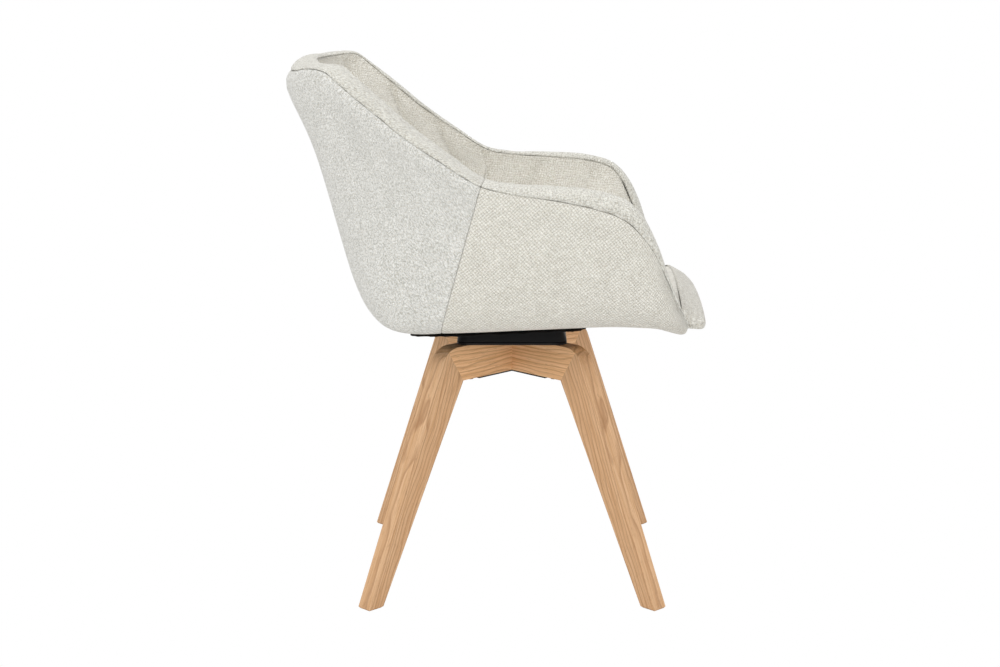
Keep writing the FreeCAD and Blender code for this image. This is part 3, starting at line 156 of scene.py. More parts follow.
class Chain:
    """The sections of the wall from the foot of the right arm round the back to the left arm."""

    def __init__(self):
        rows = [(row, -1.0) for row in reversed(ROWS)] + [(row, 1.0) for row in ROWS[1:]]
        data = np.array([[*row, side] for row, side in rows])
        (seam_x, seam_y, seam_z, hem_ahead, hem_aside, sag,
         self.inner_rise, self.crown, self.lean, self.swell, side) = data.T
        self.seam = np.stack([seam_x, side * seam_y, seam_z], axis=1)
        hem_height = board_plane(hem_ahead, -(COVER + HEM_GAP + sag))
        self.hem = np.stack([hem_ahead, side * hem_aside, hem_height], axis=1)
        zero = 0 * side
        ahead, behind = neighbours(self.seam[:, :2])
        way = behind - ahead
        self.out = np.stack([way[:, 1], -way[:, 0], zero], axis=1) / np.hypot(*way.T)[:, None]
        span = self.seam - self.hem
        self.run = (span * self.out).sum(axis=1)
        self.rise = span[:, 2]
        self.drift = span - self.out * self.run[:, None]
        self.drift[:, 2] = 0.0
        start = np.minimum(LEAN_START, LEAN_START_SHARE * self.rise)
        roll = np.minimum(HEM_ROLL, HEM_ROLL_SHARE * self.run)
        knee = self.run - self.lean * (self.rise - start)
        self.ends_out = np.stack([zero, roll, knee, self.run], axis=1)
        self.ends_up = np.stack([zero, zero, start, self.rise], axis=1)
        steps = np.sqrt(np.linalg.norm(np.diff(self.seam, axis=0), axis=1))
        self.knots = np.concatenate([[0.0], np.cumsum(steps)])

    def outer(self, share):
        """How far out and up the outside is, at a share of its curve from the hem to the seam."""
        rest = 1 - share
        weights = np.array([rest ** 3, 3 * share * rest ** 2, 3 * share ** 2 * rest, share ** 3])
        out, up = self.ends_out @ weights, self.ends_up @ weights
        height = up / self.rise
        return out + self.swell * height ** SWELL_POWER * (1.0 - height) / SWELL_PEAK, up

    def inward(self, share):
        """The way through the wall, square to the outside at the hem, to the inner seam at the rim."""
        low = self.outer(max(share - SLOPE_STEP, 0.0))
        high = self.outer(min(share + SLOPE_STEP, 1.0))
        along = np.stack([high[0] - low[0], high[1] - low[1]])
        along /= np.hypot(*along)
        square = np.stack([-along[1], along[0]])
        rise = self.inner_rise / WALL_DEPTH
        at_rim = np.stack([-np.sqrt(1 - rise ** 2), rise])
        blend = share ** INWARD_BLEND
        mixed = blend * at_rim + (1 - blend) * square
        return mixed / np.hypot(*mixed)

    def points(self, share, depth):
        """One point per section, at a share of its curve and a depth inwards."""
        out, up = self.outer(share)
        way = self.inward(share)
        sideways = self.out * (out + depth * way[0])[:, None]
        spots = self.hem + sideways + self.drift * (up / self.rise)[:, None]
        spots[:, 2] += up + depth * way[1]
        return spots

    def smooth(self, values, places):
        """Values given at the sections, read at any places along the chain."""
        gaps = np.diff(self.knots)[:, None]
        steps = np.diff(values, axis=0) / gaps
        middle = (steps[:-1] * gaps[1:] + steps[1:] * gaps[:-1]) / (gaps[1:] + gaps[:-1])
        first = 1.5 * steps[0] - 0.5 * middle[0]
        last = 1.5 * steps[-1] - 0.5 * middle[-1]
        ways = np.concatenate([[first], middle, [last]])
        index = np.clip(np.floor(places).astype(int), 0, len(self.knots) - 2)
        gap = gaps[index]
        part = (places - index)[:, None]
        return cubic(part, values[index], values[index + 1], ways[index] * gap, ways[index + 1] * gap)

    def wall(self, places, shares, depth):
        return np.stack([self.smooth(self.points(share, depth), places) for share in shares], axis=1)

    def rim(self, places, turns):
        """The rim's roll and its lips, across its width from the outer seam to the inner one."""
        ahead, behind = neighbours(self.seam)
        across = self.points(1.0, WALL_DEPTH) - self.seam
        way = np.cross(ahead - behind, across)
        way /= np.linalg.norm(way, axis=1)[:, None]
        way *= np.where(way[:, 0] * FRONT_WEIGHT + way[:, 2] > 0, 1.0, -1.0)[:, None]
        profile = list(RIM_LIP)
        for turn in turns:
            rise = LAYER_GAP + self.crown * max(math.sin(turn), 0.0) ** RIM_ROUNDING
            profile.append(((1.0 - math.cos(turn)) / 2.0, rise))
        profile += [(1.0 - share, rise) for share, rise in reversed(RIM_LIP)]
        rows = [self.seam + across * share + way * np.reshape(rise, (-1, 1)) for share, rise in profile]
        return np.stack([self.smooth(row, places) for row in rows], axis=1)


chain = Chain()


# Grids of points and how they become meshes

END_STEPS = np.array([0.03, 0.1, 0.22, 0.4, 0.65])
TINY = 1e-9


def lengths(grid, axis):
    """Running length along one axis of a grid, from its first row."""
    steps = np.linalg.norm(np.diff(grid, axis=axis), axis=2)
    run = np.cumsum(steps, axis=axis)
    start = np.zeros_like(np.take(run, [0], axis=axis))
    return np.concatenate([start, run], axis=axis)


def grid_normals(grid):
    normal = np.cross(np.gradient(grid, axis=0), np.gradient(grid, axis=1))
    return normal / np.maximum(np.linalg.norm(normal, axis=2, keepdims=True), TINY)


def sign_towards(grid, normals, spot):
    """1 where the middle of a grid has its normal turned to a spot, otherwise -1."""
    middle = tuple(count // 2 for count in grid.shape[:2])
    return np.sign((normals[middle] * (np.array(spot) - grid[middle])).sum())


def normals_towards(grid, spot):
    normals = grid_normals(grid)
    return normals * sign_towards(grid, normals, spot)


def faces_spot(grid, spot):
    return sign_towards(grid, grid_normals(grid), spot) > 0


def eased_cells(cells, count):
    """The cell that each of a number of even places lies in, and its eased share of that cell."""
    places = np.linspace(0.5, cells + 0.5, count)
    cell = np.floor(places).astype(int)
    part = places - cell
    return cell, part * part * (3 - 2 * part)


def soft_noise(shape, cells, amount):
    """Smooth random heights over a grid, for hand-made unevenness."""
    coarse = noise_source.normal(size=(cells[0] + 3, cells[1] + 3))
    ix, tx = eased_cells(cells[0], shape[0])
    iy, ty = eased_cells(cells[1], shape[1])
    a, b = coarse[np.ix_(ix, iy)], coarse[np.ix_(ix + 1, iy)]
    c, d = coarse[np.ix_(ix, iy + 1)], coarse[np.ix_(ix + 1, iy + 1)]
    tx, ty = tx[:, None], ty[None, :]
    return amount * ((a * (1 - tx) + b * tx) * (1 - ty) + (c * (1 - tx) + d * tx) * ty)


def tucked(distance, radius):
    """How far a soft panel draws in near its seam, as a quarter round."""
    part = np.clip(1.0 - distance / radius, 0.0, 1.0)
    return radius * (1.0 - np.sqrt(np.maximum(1.0 - part ** 2, 0.0)))


def fade_in(distance, reach):
    return np.clip(distance / reach, 0.0, 1.0)


def hump(distance, reach):
    return np.exp(-(distance / reach) ** 2)


def spread(first, last, step):
    """Even positions about a step apart, with extra ones close to both ends."""
    count = max(int(round((last - first) / step)), 2)
    body = np.linspace(first, last, count + 1)
    near = step * END_STEPS
    return np.unique(np.concatenate([body, first + near, last - near]))


def add_mesh(name, grid, turned=False):
    """A mesh from a grid in millimetres, with its running lengths in metres as UVs."""
    nu, nv = grid.shape[:2]
    u = lengths(grid, 0)
    u = u - u[nu // 2][None, :]
    v = lengths(grid, 1)
    quads = []
    for i in range(nu - 1):
        for j in range(nv - 1):
            a = i * nv + j
            quad = (a, a + nv, a + nv + 1, a + 1)
            quads.append(quad[::-1] if turned else quad)
    mesh = bpy.data.meshes.new(name)
    mesh.from_pydata((grid.reshape(-1, 3) * MM).tolist(), [], quads)
    layer = mesh.uv_layers.new(name="metres")
    flat = np.stack([u.reshape(-1), v.reshape(-1)], axis=1) * MM
    loops = np.empty(len(mesh.loops), dtype=np.int32)
    mesh.loops.foreach_get("vertex_index", loops)
    layer.data.foreach_set("uv", flat[loops].reshape(-1))
    mesh.polygons.foreach_set("use_smooth", [True] * len(mesh.polygons))
    mesh.update()
    piece = bpy.data.objects.new(name, mesh)
    bpy.context.scene.collection.objects.link(piece)
    return piece


def finish_piece(piece, material, nodes, thickness=None):
    """Gives a piece its cloth, a thickness if one is given, and the seat's body, and hides the frame's nodes
    that it stands for.
    """
    piece.data.materials.append(material)
    if thickness:
        solid = piece.modifiers.new("cloth", "SOLIDIFY")
        solid.thickness = thickness
        solid.offset = -1.0
    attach(piece, "seat")
    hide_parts(*nodes)


# Node helpers for materials

class Tree:
    def __init__(self, name):
        self.material = bpy.data.materials.new(name)
        self.material.use_nodes = True
        self.nodes = self.material.node_tree.nodes
        self.links = self.material.node_tree.links
        self.shader = self.nodes["Principled BSDF"]

    def add(self, kind, inputs=None, **settings):
        node = self.nodes.new("ShaderNode" + kind)
        for key, value in settings.items():
            setattr(node, key, value)
        for key, value in (inputs or {}).items():
            self.put(node.inputs[key], value)
        return node

    def put(self, socket, value):
        if isinstance(value, bpy.types.NodeSocket):
            self.links.new(value, socket)
        else:
            socket.default_value = value

    def maths(self, operation, *values, clamp=False):
        node = self.add("Math", operation=operation, use_clamp=clamp)
        for socket, value in zip(node.inputs, values):
            self.put(socket, value)
        return node.outputs[0]

    def total(self, *terms):
        """The sum of values, each given with its weight."""
        parts = [self.maths("MULTIPLY", value, weight) for value, weight in terms]
        result = parts.pop()
        while parts:
            result = self.maths("ADD", parts.pop(), result)
        return result

    def raised(self, start, value, weight):
        """A starting level and a weighted value on top."""
        return self.maths("ADD", start, self.maths("MULTIPLY", value, weight))

    def mix(self, share, low, high):
        """Two colours mixed. The node's sockets 0, 6 and 7 take the share and the colours."""
        node = self.add("Mix", data_type="RGBA")
        for socket, value in zip((0, 6, 7), (share, low, high)):
            self.put(node.inputs[socket], value)
        return node.outputs[2]

    def tint(self, base, mask, share, over):
        """A colour laid over a base where a mask is light, at most by a share."""
        return self.mix(self.maths("MULTIPLY", mask, share), base, over)

    def ramp(self, value, *stops):
        """Grey levels between stops, each of a place and a level."""
        node = self.add("ValToRGB", {"Fac": value})
        elements = node.color_ramp.elements
        while len(elements) < len(stops):
            elements.new(0.5)
        for element, (place, level) in zip(elements, stops):
            element.position = place
            element.color = (level, level, level, 1.0)
        return node.outputs[0]

    def step(self, value, low, high):
        """Black up to a low value and white from a high one."""
        return self.ramp(value, (low, 0.0), (high, 1.0))

    def noise(self, vector, scale, detail=2.0, roughness=0.5):
        inputs = {"Vector": vector, "Scale": scale, "Detail": detail, "Roughness": roughness}
        return self.add("TexNoise", inputs).outputs[0]

    def finish(self, base, roughness, height, relief, depth, specular):
        """Joins colour, roughness and relief to the shader."""
        bump = self.add("Bump", {"Height": height, "Strength": relief, "Distance": depth})
        inputs = {"Base Color": base, "Roughness": roughness, "Normal": bump.outputs[0],
                  "Specular IOR Level": specular}
        for name, value in inputs.items():
            self.put(self.shader.inputs[name], value)


def linear_level(level):
    share = level / 255.0
    return share / 12.92 if share <= 0.04045 else ((share + 0.055) / 1.055) ** 2.4


def colour(red, green, blue):
    """A colour given as it looks on a screen, from 0 to 255."""
    return (linear_level(red), linear_level(green), linear_level(blue), 1.0)


# Cloth. Scales are in cells per metre, heights and tones are shares

YARN = 0.0042
YARN_ROUNDING, YARN_LEAST = 0.6, 0.25
WANDER_SCALE, WANDER_LEAST, WANDER_OF_NUBS = 110.0, 0.002, 0.008
NUB_SCALE, NUB_SOFTNESS, NUB_STEEPNESS = 330.0, 0.35, 1.35
SLUB_SCALE, FIBRE_SCALE, PATCH_SCALE, WARM_SCALE = 480.0, 2600.0, 24.0, 420.0
SLUB_HEIGHT, FIBRE_HEIGHT = 0.9, 0.3
# The gap tone is painted shade: the cloth is darker where its yarn lies low, in the gaps between crossings
# and nubs.
GAP_SHADE_TONE, MOTTLE_TONE, CELL_TONE, PATCH_TONE = 0.40, 0.34, 0.18, 0.08
WARM_YARN, WARM_SHARE = colour(200, 188, 164), 0.35
CLOTH_RELIEF, CLOTH_DEPTH = 0.8, 0.0016
CLOTH_ROUGHNESS, SLUB_ROUGHNESS, CLOTH_SPECULAR = 0.82, 0.15, 0.15
SHEEN, SHEEN_ROUGHNESS = 0.4, 0.6


def cloth_places(tree, nubs):
    """Even places on the cloth, and the same ones swayed as thick yarn is."""
    if nubs < 1.0:
        even = tree.add("UVMap", uv_map="metres").outputs[0]
    else:
        even = tree.add("TexCoord").outputs["Object"]
    wander = tree.add("TexNoise", {"Vector": even, "Scale": WANDER_SCALE, "Detail": 3.0})
    shift = tree.add("VectorMath", {0: wander.outputs[1], 1: (0.5, 0.5, 0.5)}, operation="SUBTRACT")
    reach = WANDER_LEAST + WANDER_OF_NUBS * nubs
    push = tree.add("VectorMath", {0: shift.outputs[0], "Scale": reach}, operation="SCALE")
    swayed = tree.add("VectorMath", {0: even, 1: push.outputs[0]}, operation="ADD")
    return even, swayed.outputs[0]


def basket_weave(tree, place, turn):
    """The height of crossing yarns, and a level of its own for each crossing."""
    mapping = tree.add("Mapping", {"Vector": place, "Rotation": (0.0, 0.0, math.radians(turn)),
                                   "Scale": (1.0 / YARN, 1.0 / YARN, 1.0)})
    axes = tree.add("SeparateXYZ", {"Vector": mapping.outputs[0]})
    cells, humps = [], []
    for axis in (axes.outputs["X"], axes.outputs["Y"]):
        cells.append(tree.maths("FLOOR", axis))
        humps.append(tree.maths("ABSOLUTE", tree.maths("SINE", tree.maths("MULTIPLY", axis, math.pi))))
    over = tree.maths("PINGPONG", tree.maths("ADD", *cells), 1.0)
    strands = []
    for across, along in (humps, humps[::-1]):
        dip = tree.raised(YARN_LEAST, along, 1.0 - YARN_LEAST)
        strands.append(tree.maths("MULTIPLY", tree.maths("POWER", across, YARN_ROUNDING), dip))
    height = tree.total((strands[0], over), (strands[1], tree.maths("SUBTRACT", 1.0, over)))
    cell = tree.add("CombineXYZ", {"X": cells[0], "Y": cells[1]})
    chance = tree.add("TexWhiteNoise", {"Vector": cell.outputs[0]}, noise_dimensions="3D")
    return height, chance.outputs[0]


def yarn_nubs(tree, place, nubs):
    """The height of round nubs, on the flat cloth, or in space where it is nubs alone."""
    inputs = {"Vector": place, "Scale": NUB_SCALE, "Randomness": 1.0, "Smoothness": NUB_SOFTNESS}
    dimensions = "2D" if nubs < 1.0 else "3D"
    lump = tree.add("TexVoronoi", inputs, voronoi_dimensions=dimensions, feature="SMOOTH_F1")
    slope = tree.maths("MULTIPLY", lump.outputs["Distance"], NUB_STEEPNESS)
    return tree.maths("SUBTRACT", 1.0, slope, clamp=True)


def fabric(name, light, dark, turn, nubs):
    """Coarse cloth of slubby yarn. turn slants the weave, nubs makes it uneven, up to 1 for nubs alone."""
    tree = Tree(name)
    even, swayed = cloth_places(tree, nubs)
    weave, chance = basket_weave(tree, swayed, turn)
    yarn = tree.total((weave, 1.0 - nubs), (yarn_nubs(tree, swayed, nubs), nubs))
    slub = tree.noise(swayed, SLUB_SCALE, detail=3.0, roughness=0.7)
    fibre = tree.noise(swayed, FIBRE_SCALE, roughness=0.6)
    patch = tree.step(tree.noise(even, PATCH_SCALE, detail=3.0, roughness=0.6), 0.35, 0.65)
    # Painted shade: this mask is dark where the yarn lies low, between the crossings and the nubs.
    gaps = tree.step(yarn, 0.22, 0.62)
    mottle = tree.step(slub, 0.36, 0.62)
    warm = tree.step(tree.noise(even, WARM_SCALE), 0.54, 0.60)
    height = tree.total((yarn, 1.0), (slub, SLUB_HEIGHT), (fibre, FIBRE_HEIGHT))
    tone = tree.total((gaps, GAP_SHADE_TONE), (mottle, MOTTLE_TONE), (chance, CELL_TONE), (patch, PATCH_TONE))
    base = tree.tint(tree.mix(tone, dark, light), warm, WARM_SHARE, WARM_YARN)
    roughness = tree.raised(CLOTH_ROUGHNESS, slub, SLUB_ROUGHNESS)
    tree.finish(base, roughness, height, CLOTH_RELIEF, CLOTH_DEPTH, CLOTH_SPECULAR)
    tree.put(tree.shader.inputs["Sheen Weight"], SHEEN)
    tree.put(tree.shader.inputs["Sheen Roughness"], SHEEN_ROUGHNESS)
    return tree.material


# Oak. Scales are in cells per metre, first along the grain and then across it

SWAY_SCALES, STREAK_SCALES = (5.0, 18.0), (9.0, 420.0)
PORE_SCALES, BROAD_SCALES = (70.0, 1500.0), (2.0, 30.0)
YEARS_THROUGH, YEARS_ACROSS, YEARS_ALONG, YEARS_SWAY = 150.0, 46.0, 2.2, 6.5
LATE_SHARE, PORE_SHARE, BROAD_SHARE = 0.6, 0.6, 0.22
PALE_OAK, MID_OAK, DEEP_OAK = colour(238, 200, 160), colour(208, 162, 116), colour(150, 102, 62)
PORE_OAK, BROAD_OAK = colour(122, 80, 48), colour(176, 128, 82)
SHADE_POWERS = (1.0, 0.9, 0.6)
STREAK_HEIGHT, LATE_HEIGHT = 0.35, 0.15
OAK_RELIEF, OAK_DEPTH, OAK_ROUGHNESS, STREAK_ROUGHNESS, OAK_SPECULAR = 0.35, 0.0004, 0.42, 0.2, 0.35


def unit(way):
    return np.array(way, dtype=float) / np.linalg.norm(way)


def grain_noise(tree, parts, scales, **look):
    """Noise drawn out along the grain."""
    place = tree.add("CombineXYZ")
    for socket, part, scale in zip(place.inputs, parts, (scales[0], scales[1], scales[1])):
        tree.put(socket, tree.maths("MULTIPLY", part, scale))
    return tree.noise(place.outputs[0], 1.0, **look)


def shaded(tone, shade):
    """A lighter or darker tone, with the red changed most and the blue least. It paints light onto the
    rails' oak.
    """
    return tuple(shade ** power * level for level, power in zip(tone[:3], SHADE_POWERS)) + (1.0,)


def oak(name, along, across, shade=1.0):
    """Oak with its grain along a direction: year lines, pores and a few darker streaks. A shade above 1
    makes a lighter copy, which is painted light.
    """
    tree = Tree(name)
    position = tree.add("TexCoord").outputs["Object"]
    along, across = unit(along), unit(across)
    parts = [tree.add("VectorMath", {0: position, 1: tuple(way)}, operation="DOT_PRODUCT").outputs["Value"]
             for way in (along, across, np.cross(along, across))]
    sway = grain_noise(tree, parts, SWAY_SCALES)
    years = tree.total((parts[2], YEARS_THROUGH), (parts[1], YEARS_ACROSS), (sway, YEARS_SWAY),
                       (parts[0], YEARS_ALONG))
    late = tree.ramp(tree.maths("FRACT", years), (0.0, 0.15), (0.55, 0.25), (0.86, 1.0), (1.0, 0.1))
    streak = grain_noise(tree, parts, STREAK_SCALES, detail=4.0, roughness=0.62)
    pores = tree.step(grain_noise(tree, parts, PORE_SCALES, roughness=0.6), 0.60, 0.72)
    broad = tree.step(grain_noise(tree, parts, BROAD_SCALES), 0.35, 0.7)
    pale, mid, deep = (shaded(tone, shade) for tone in (PALE_OAK, MID_OAK, DEEP_OAK))
    base = tree.mix(tree.step(streak, 0.3, 0.7), mid, pale)
    base = tree.tint(base, late, LATE_SHARE, deep)
    base = tree.tint(base, pores, PORE_SHARE, PORE_OAK)
    base = tree.tint(base, broad, BROAD_SHARE, BROAD_OAK)
    hollow = tree.raised(pores, late, LATE_HEIGHT)
    height = tree.maths("SUBTRACT", tree.maths("MULTIPLY", streak, STREAK_HEIGHT), hollow)
    roughness = tree.raised(OAK_ROUGHNESS, streak, STREAK_ROUGHNESS)
    tree.finish(base, roughness, height, OAK_RELIEF, OAK_DEPTH, OAK_SPECULAR)
    return tree.material


# Plain finishes

BROAD_PER_FINE = 24.0
WEAR_ROUGHNESS = 0.12
METAL_SPECULAR, PLAIN_SPECULAR = 0.5, 0.3


def grained(name, low, high, scale, roughness, bump, metallic=0.0, depth=0.0002):
    """A plain finish with fine grain: powder coat, plating, moulded plastic or lining cloth."""
    tree = Tree(name)
    position = tree.add("TexCoord").outputs["Object"]
    fine = tree.noise(position, scale, detail=3.0, roughness=0.6)
    worn = tree.step(tree.noise(position, scale / BROAD_PER_FINE), 0.35, 0.7)
    speckle = tree.ramp(fine, (0.3, 0.4), (0.7, 1.0))
    base = tree.mix(tree.maths("MULTIPLY", worn, speckle), low, high)
    specular = METAL_SPECULAR if metallic else PLAIN_SPECULAR
    tree.finish(base, tree.raised(roughness, worn, WEAR_ROUGHNESS), fine, bump, depth, specular)
    tree.put(tree.shader.inputs["Metallic"], metallic)
    return tree.material


# Upholstery. Sizes are in millimetres, and steps along the wall in sections of the chain

# Each cloth's darker colour shows as painted shade in the gaps between its yarns, and also as the yarn's own
# mottling.
cloth_back = fabric("fabric_back", colour(255, 255, 252), colour(172, 172, 164), turn=32.0, nubs=0.75)
cloth_side = fabric("fabric_side", colour(255, 254, 247), colour(174, 169, 156), turn=45.0, nubs=0.2)
cloth_rim = fabric("fabric_rim", colour(246, 246, 239), colour(160, 156, 145), turn=20.0, nubs=0.7)
cloth_roll = fabric("fabric_roll", colour(250, 249, 242), colour(164, 159, 147), turn=0.0, nubs=1.0)
# The inside's cloth is a lighter copy of the outer cloth, with a paler dark tone: painted light against the
# shade inside the chair.
cloth_inside = fabric("fabric_inside", colour(255, 254, 248), colour(190, 184, 170), turn=8.0, nubs=0.4)

SEAT_MIDDLE, RIM_MIDDLE, ROLL_MIDDLE = (0.0, 0.0, 600.0), (0.0, 0.0, 500.0), (200.0, 0.0, 470.0)
NO_SEAM = 1e3
SEAM_TUCK, SIDE_TUCK = 2.8, 2.2

COVER_STEP, COVER_SHARE_STEP = 0.11, 0.016
SIDE_DIP, SIDE_DIP_REACH = 0.8, 14.0
PLUMP, PLUMP_PLACE, PLUMP_REACH = 0.8, 22.0, 16.0
THINNED, THINNED_REACH = 0.8, 30.0
COVER_CELLS, COVER_UNEVEN, COVER_CALM = (9, 7), 0.3, 40.0
COVER_LIP = (6.0, 10.0)
COVER_CLOTH = 3.4


def side_distance(u, first, last):
    """Distance to the nearer side seam. The ends of the chain have none."""
    to_first = u if first > 0 else NO_SEAM
    to_last = u[-1:] - u if last < END else NO_SEAM
    return np.minimum(to_first, to_last)


def make_cover(name, first, last, material, node):
    """An outer panel: the wall's outside, drawn in at its seams and turned under the rim."""
    places = spread(first, last, COVER_STEP)
    grid = chain.wall(places, spread(0.0, 1.0, COVER_SHARE_STEP), 0.0)
    normals = -normals_towards(grid, SEAT_MIDDLE)
    v = lengths(grid, 1)
    to_seam = v[:, -1:] - v
    to_side = side_distance(lengths(grid, 0), first, last)
    dip = SIDE_DIP * np.exp(-to_side / SIDE_DIP_REACH)
    inset = tucked(to_seam, SEAM_TUCK) + tucked(to_side, SIDE_TUCK) + dip
    plump = PLUMP * hump(to_seam - PLUMP_PLACE, PLUMP_REACH) - THINNED * fade_in(to_seam, THINNED_REACH)
    uneven = soft_noise(grid.shape, COVER_CELLS, COVER_UNEVEN) * fade_in(to_seam, COVER_CALM)
    grid = grid + normals * (plump + uneven - inset)[:, :, None]
    under_rim = [chain.wall(places, [1.0], depth) for depth in COVER_LIP]
    grid = np.concatenate([grid] + under_rim, axis=1)
    piece = add_mesh(name, grid, turned=faces_spot(grid, SEAT_MIDDLE))
    finish_piece(piece, material, [node], thickness=COVER_CLOTH * MM)


RIM_STEP, RIM_TURN_STEP = 0.10, 0.045
GATHER, GATHER_LENGTH, GATHER_SWAY, GATHER_SWAY_LENGTH = 0.5, 9.0, 3.0, 37.0
RIM_CELLS, RIM_UNEVEN = (16, 3), 0.6


def make_rim(name, first, last, node):
    """The roll that caps the wall, with soft gathers along its seams."""
    turns = math.pi * spread(0.0, 1.0, RIM_TURN_STEP)
    grid = chain.rim(spread(first, last, RIM_STEP), turns)
    normals = grid_normals(grid)
    crest = grid.shape[1] // 2
    normals *= np.sign((normals[:, crest] * (grid[:, crest] - grid[:, 0])).sum())
    u = lengths(grid, 0)
    lip = np.zeros(len(RIM_LIP))
    across = np.concatenate([lip, np.sin(turns), lip])[None, :]
    wave = np.sin(u / GATHER_LENGTH + GATHER_SWAY * np.sin(u / GATHER_SWAY_LENGTH))
    gather = GATHER * wave * (1.0 - across) ** 2
    uneven = soft_noise(grid.shape, RIM_CELLS, RIM_UNEVEN) * across
    inset = tucked(side_distance(u, first, last), SIDE_TUCK)
    grid = grid + normals * (uneven + gather - inset)[:, :, None]
    piece = add_mesh(name, grid, turned=faces_spot(grid, RIM_MIDDLE))
    finish_piece(piece, cloth_rim, [node])


# Quilting of the inside: upright channels from the rim down, then diamonds

CHANNEL_PITCH, DIAMOND_TOP, DIAMOND_HEIGHT = 97.0, 92.0, 118.0
PUFF, PUFF_REACH, PUFF_POWER = 6.5, 15.0, 1.2
STITCH, STITCH_REACH = 1.6, 2.2
DIMPLE, DIMPLE_REACH, DIMPLE_START = 5.0, 8.0, -0.35
RIM_LEVEL, RIM_FADE = 5.0, 26.0


def to_line(value):
    return np.abs(value - np.round(value))


def quilting(u, v):
    """Height of the quilted pads at a running length along the wall and a depth below the rim."""
    slant = CHANNEL_PITCH / math.hypot(1.0, CHANNEL_PITCH / DIAMOND_HEIGHT)
    below = (v - DIAMOND_TOP) / DIAMOND_HEIGHT
    upright = to_line(u / CHANNEL_PITCH) * CHANNEL_PITCH
    one = to_line(u / CHANNEL_PITCH + below) * slant
    other = to_line(u / CHANNEL_PITCH - below) * slant
    line = np.where(below < 0, upright, np.minimum(one, other))
    puff = PUFF * (1.0 - np.exp(-(line / PUFF_REACH) ** PUFF_POWER)) - STITCH * hump(line, STITCH_REACH)
    dimple = np.where(below > DIMPLE_START, DIMPLE * hump(np.hypot(one, other), DIMPLE_REACH), 0.0)
    shown = fade_in(v, RIM_FADE)
    return shown * (puff - dimple) + (1.0 - shown) * RIM_LEVEL


PAD_FOOT = 0.3
PAD_END, PAD_OVERLAP, PAD_STEP, PAD_SHARE_STEP = 0.8, 0.12, 0.055, 0.010
PAD_SINK = 3.5
PAD_LIP = (7.0, 11.0)
PAD_CELLS, PAD_UNEVEN, FOOT_FADE = (12, 8), 0.7, 45.0
APRON_CLEARANCE, APRON_LEAST, APRON_SHARES = 9.0, 0.5, (1.0, 0.75, 0.5, 0.2)


def channel_lengths(grid, first):
    """Running lengths with half a channel on each side of the back's middle, or from an arm's seam."""
    along = lengths(grid, 0)
    if first == RIGHT_SEAM:
        return along - along[grid.shape[0] // 2] + 0.5 * CHANNEL_PITCH
    return along if first == LEFT_SEAM else along[-1:] - along


def make_inside(name, first, last, node):
    """A pad of the inside, quilted, running a little way under the rim and past its side seams."""
    places = spread(max(first - PAD_OVERLAP, PAD_END), min(last + PAD_OVERLAP, END - PAD_END), PAD_STEP)
    grid = chain.wall(places, spread(PAD_FOOT, 1.0, PAD_SHARE_STEP), WALL_DEPTH - PAD_SINK)
    normals = normals_towards(grid, SEAT_MIDDLE)
    v = lengths(grid, 1)
    shape = quilting(channel_lengths(grid, first), v[:, -1:] - v) * fade_in(v, FOOT_FADE)
    uneven = soft_noise(grid.shape, PAD_CELLS, PAD_UNEVEN)
    grid = grid + normals * (shape + uneven)[:, :, None]
    under_rim = [chain.wall(places, [1.0], WALL_DEPTH - depth) for depth in PAD_LIP]
    foot = grid[:, :1]
    over_board = foot[:, :, 2:] - board_plane(foot[:, :, :1], APRON_CLEARANCE)
    drop = np.maximum(over_board, APRON_LEAST) * np.array([0.0, 0.0, 1.0])
    apron = [foot - drop * share for share in APRON_SHARES]
    grid = np.concatenate(apron + [grid] + under_rim, axis=1)
    piece = add_mesh(name, grid, turned=not faces_spot(grid, SEAT_MIDDLE))
    finish_piece(piece, cloth_inside, [node])


CUSHION_STEPS, CUSHION_LEVELS, CUSHION_LEVEL_TOP = 110, 63, 0.92
CUSHION_EDGE_DROP, CUSHION_UNDER_PAD, CUSHION_WIDEST = 6.0, 14.0, 1.02
FRONT_CORNER, FRONT_STEPS, LEAST_STEP = 212.0, 12, 0.02
SPINE_REAR = -60.0
OPEN_RAYS, EDGE_RAYS, EDGE_SHARE, EDGE_POWER = 40, 16, 0.1, 1.6
EDGE_TUCK, EDGE_SLOPE, EDGE_SLOPE_REACH = 9.0, 5.0, 30.0
REAR_DROP, REAR_DROP_REACH = 10.0, 130.0
WRINKLE, WRINKLE_X, WRINKLE_Y, WRINKLE_SWAY, WRINKLE_SWAY_Y = 0.7, 31.0, 39.0, 1.3, 47.0
WRINKLE_PLACE, WRINKLE_RISE = 0.6, 1.5


def cushion_top(x, across):
    drop = CUSHION_SIDE_DROP * across ** 2
    return board_plane(BOARD_FRONT, CUSHION_RISE) - (BOARD_FRONT - x) * SEAT_RAKE - drop


def cushion_side(y):
    """Share of the cushion's half width."""
    return np.minimum(y / CUSHION_HALF, CUSHION_WIDEST)


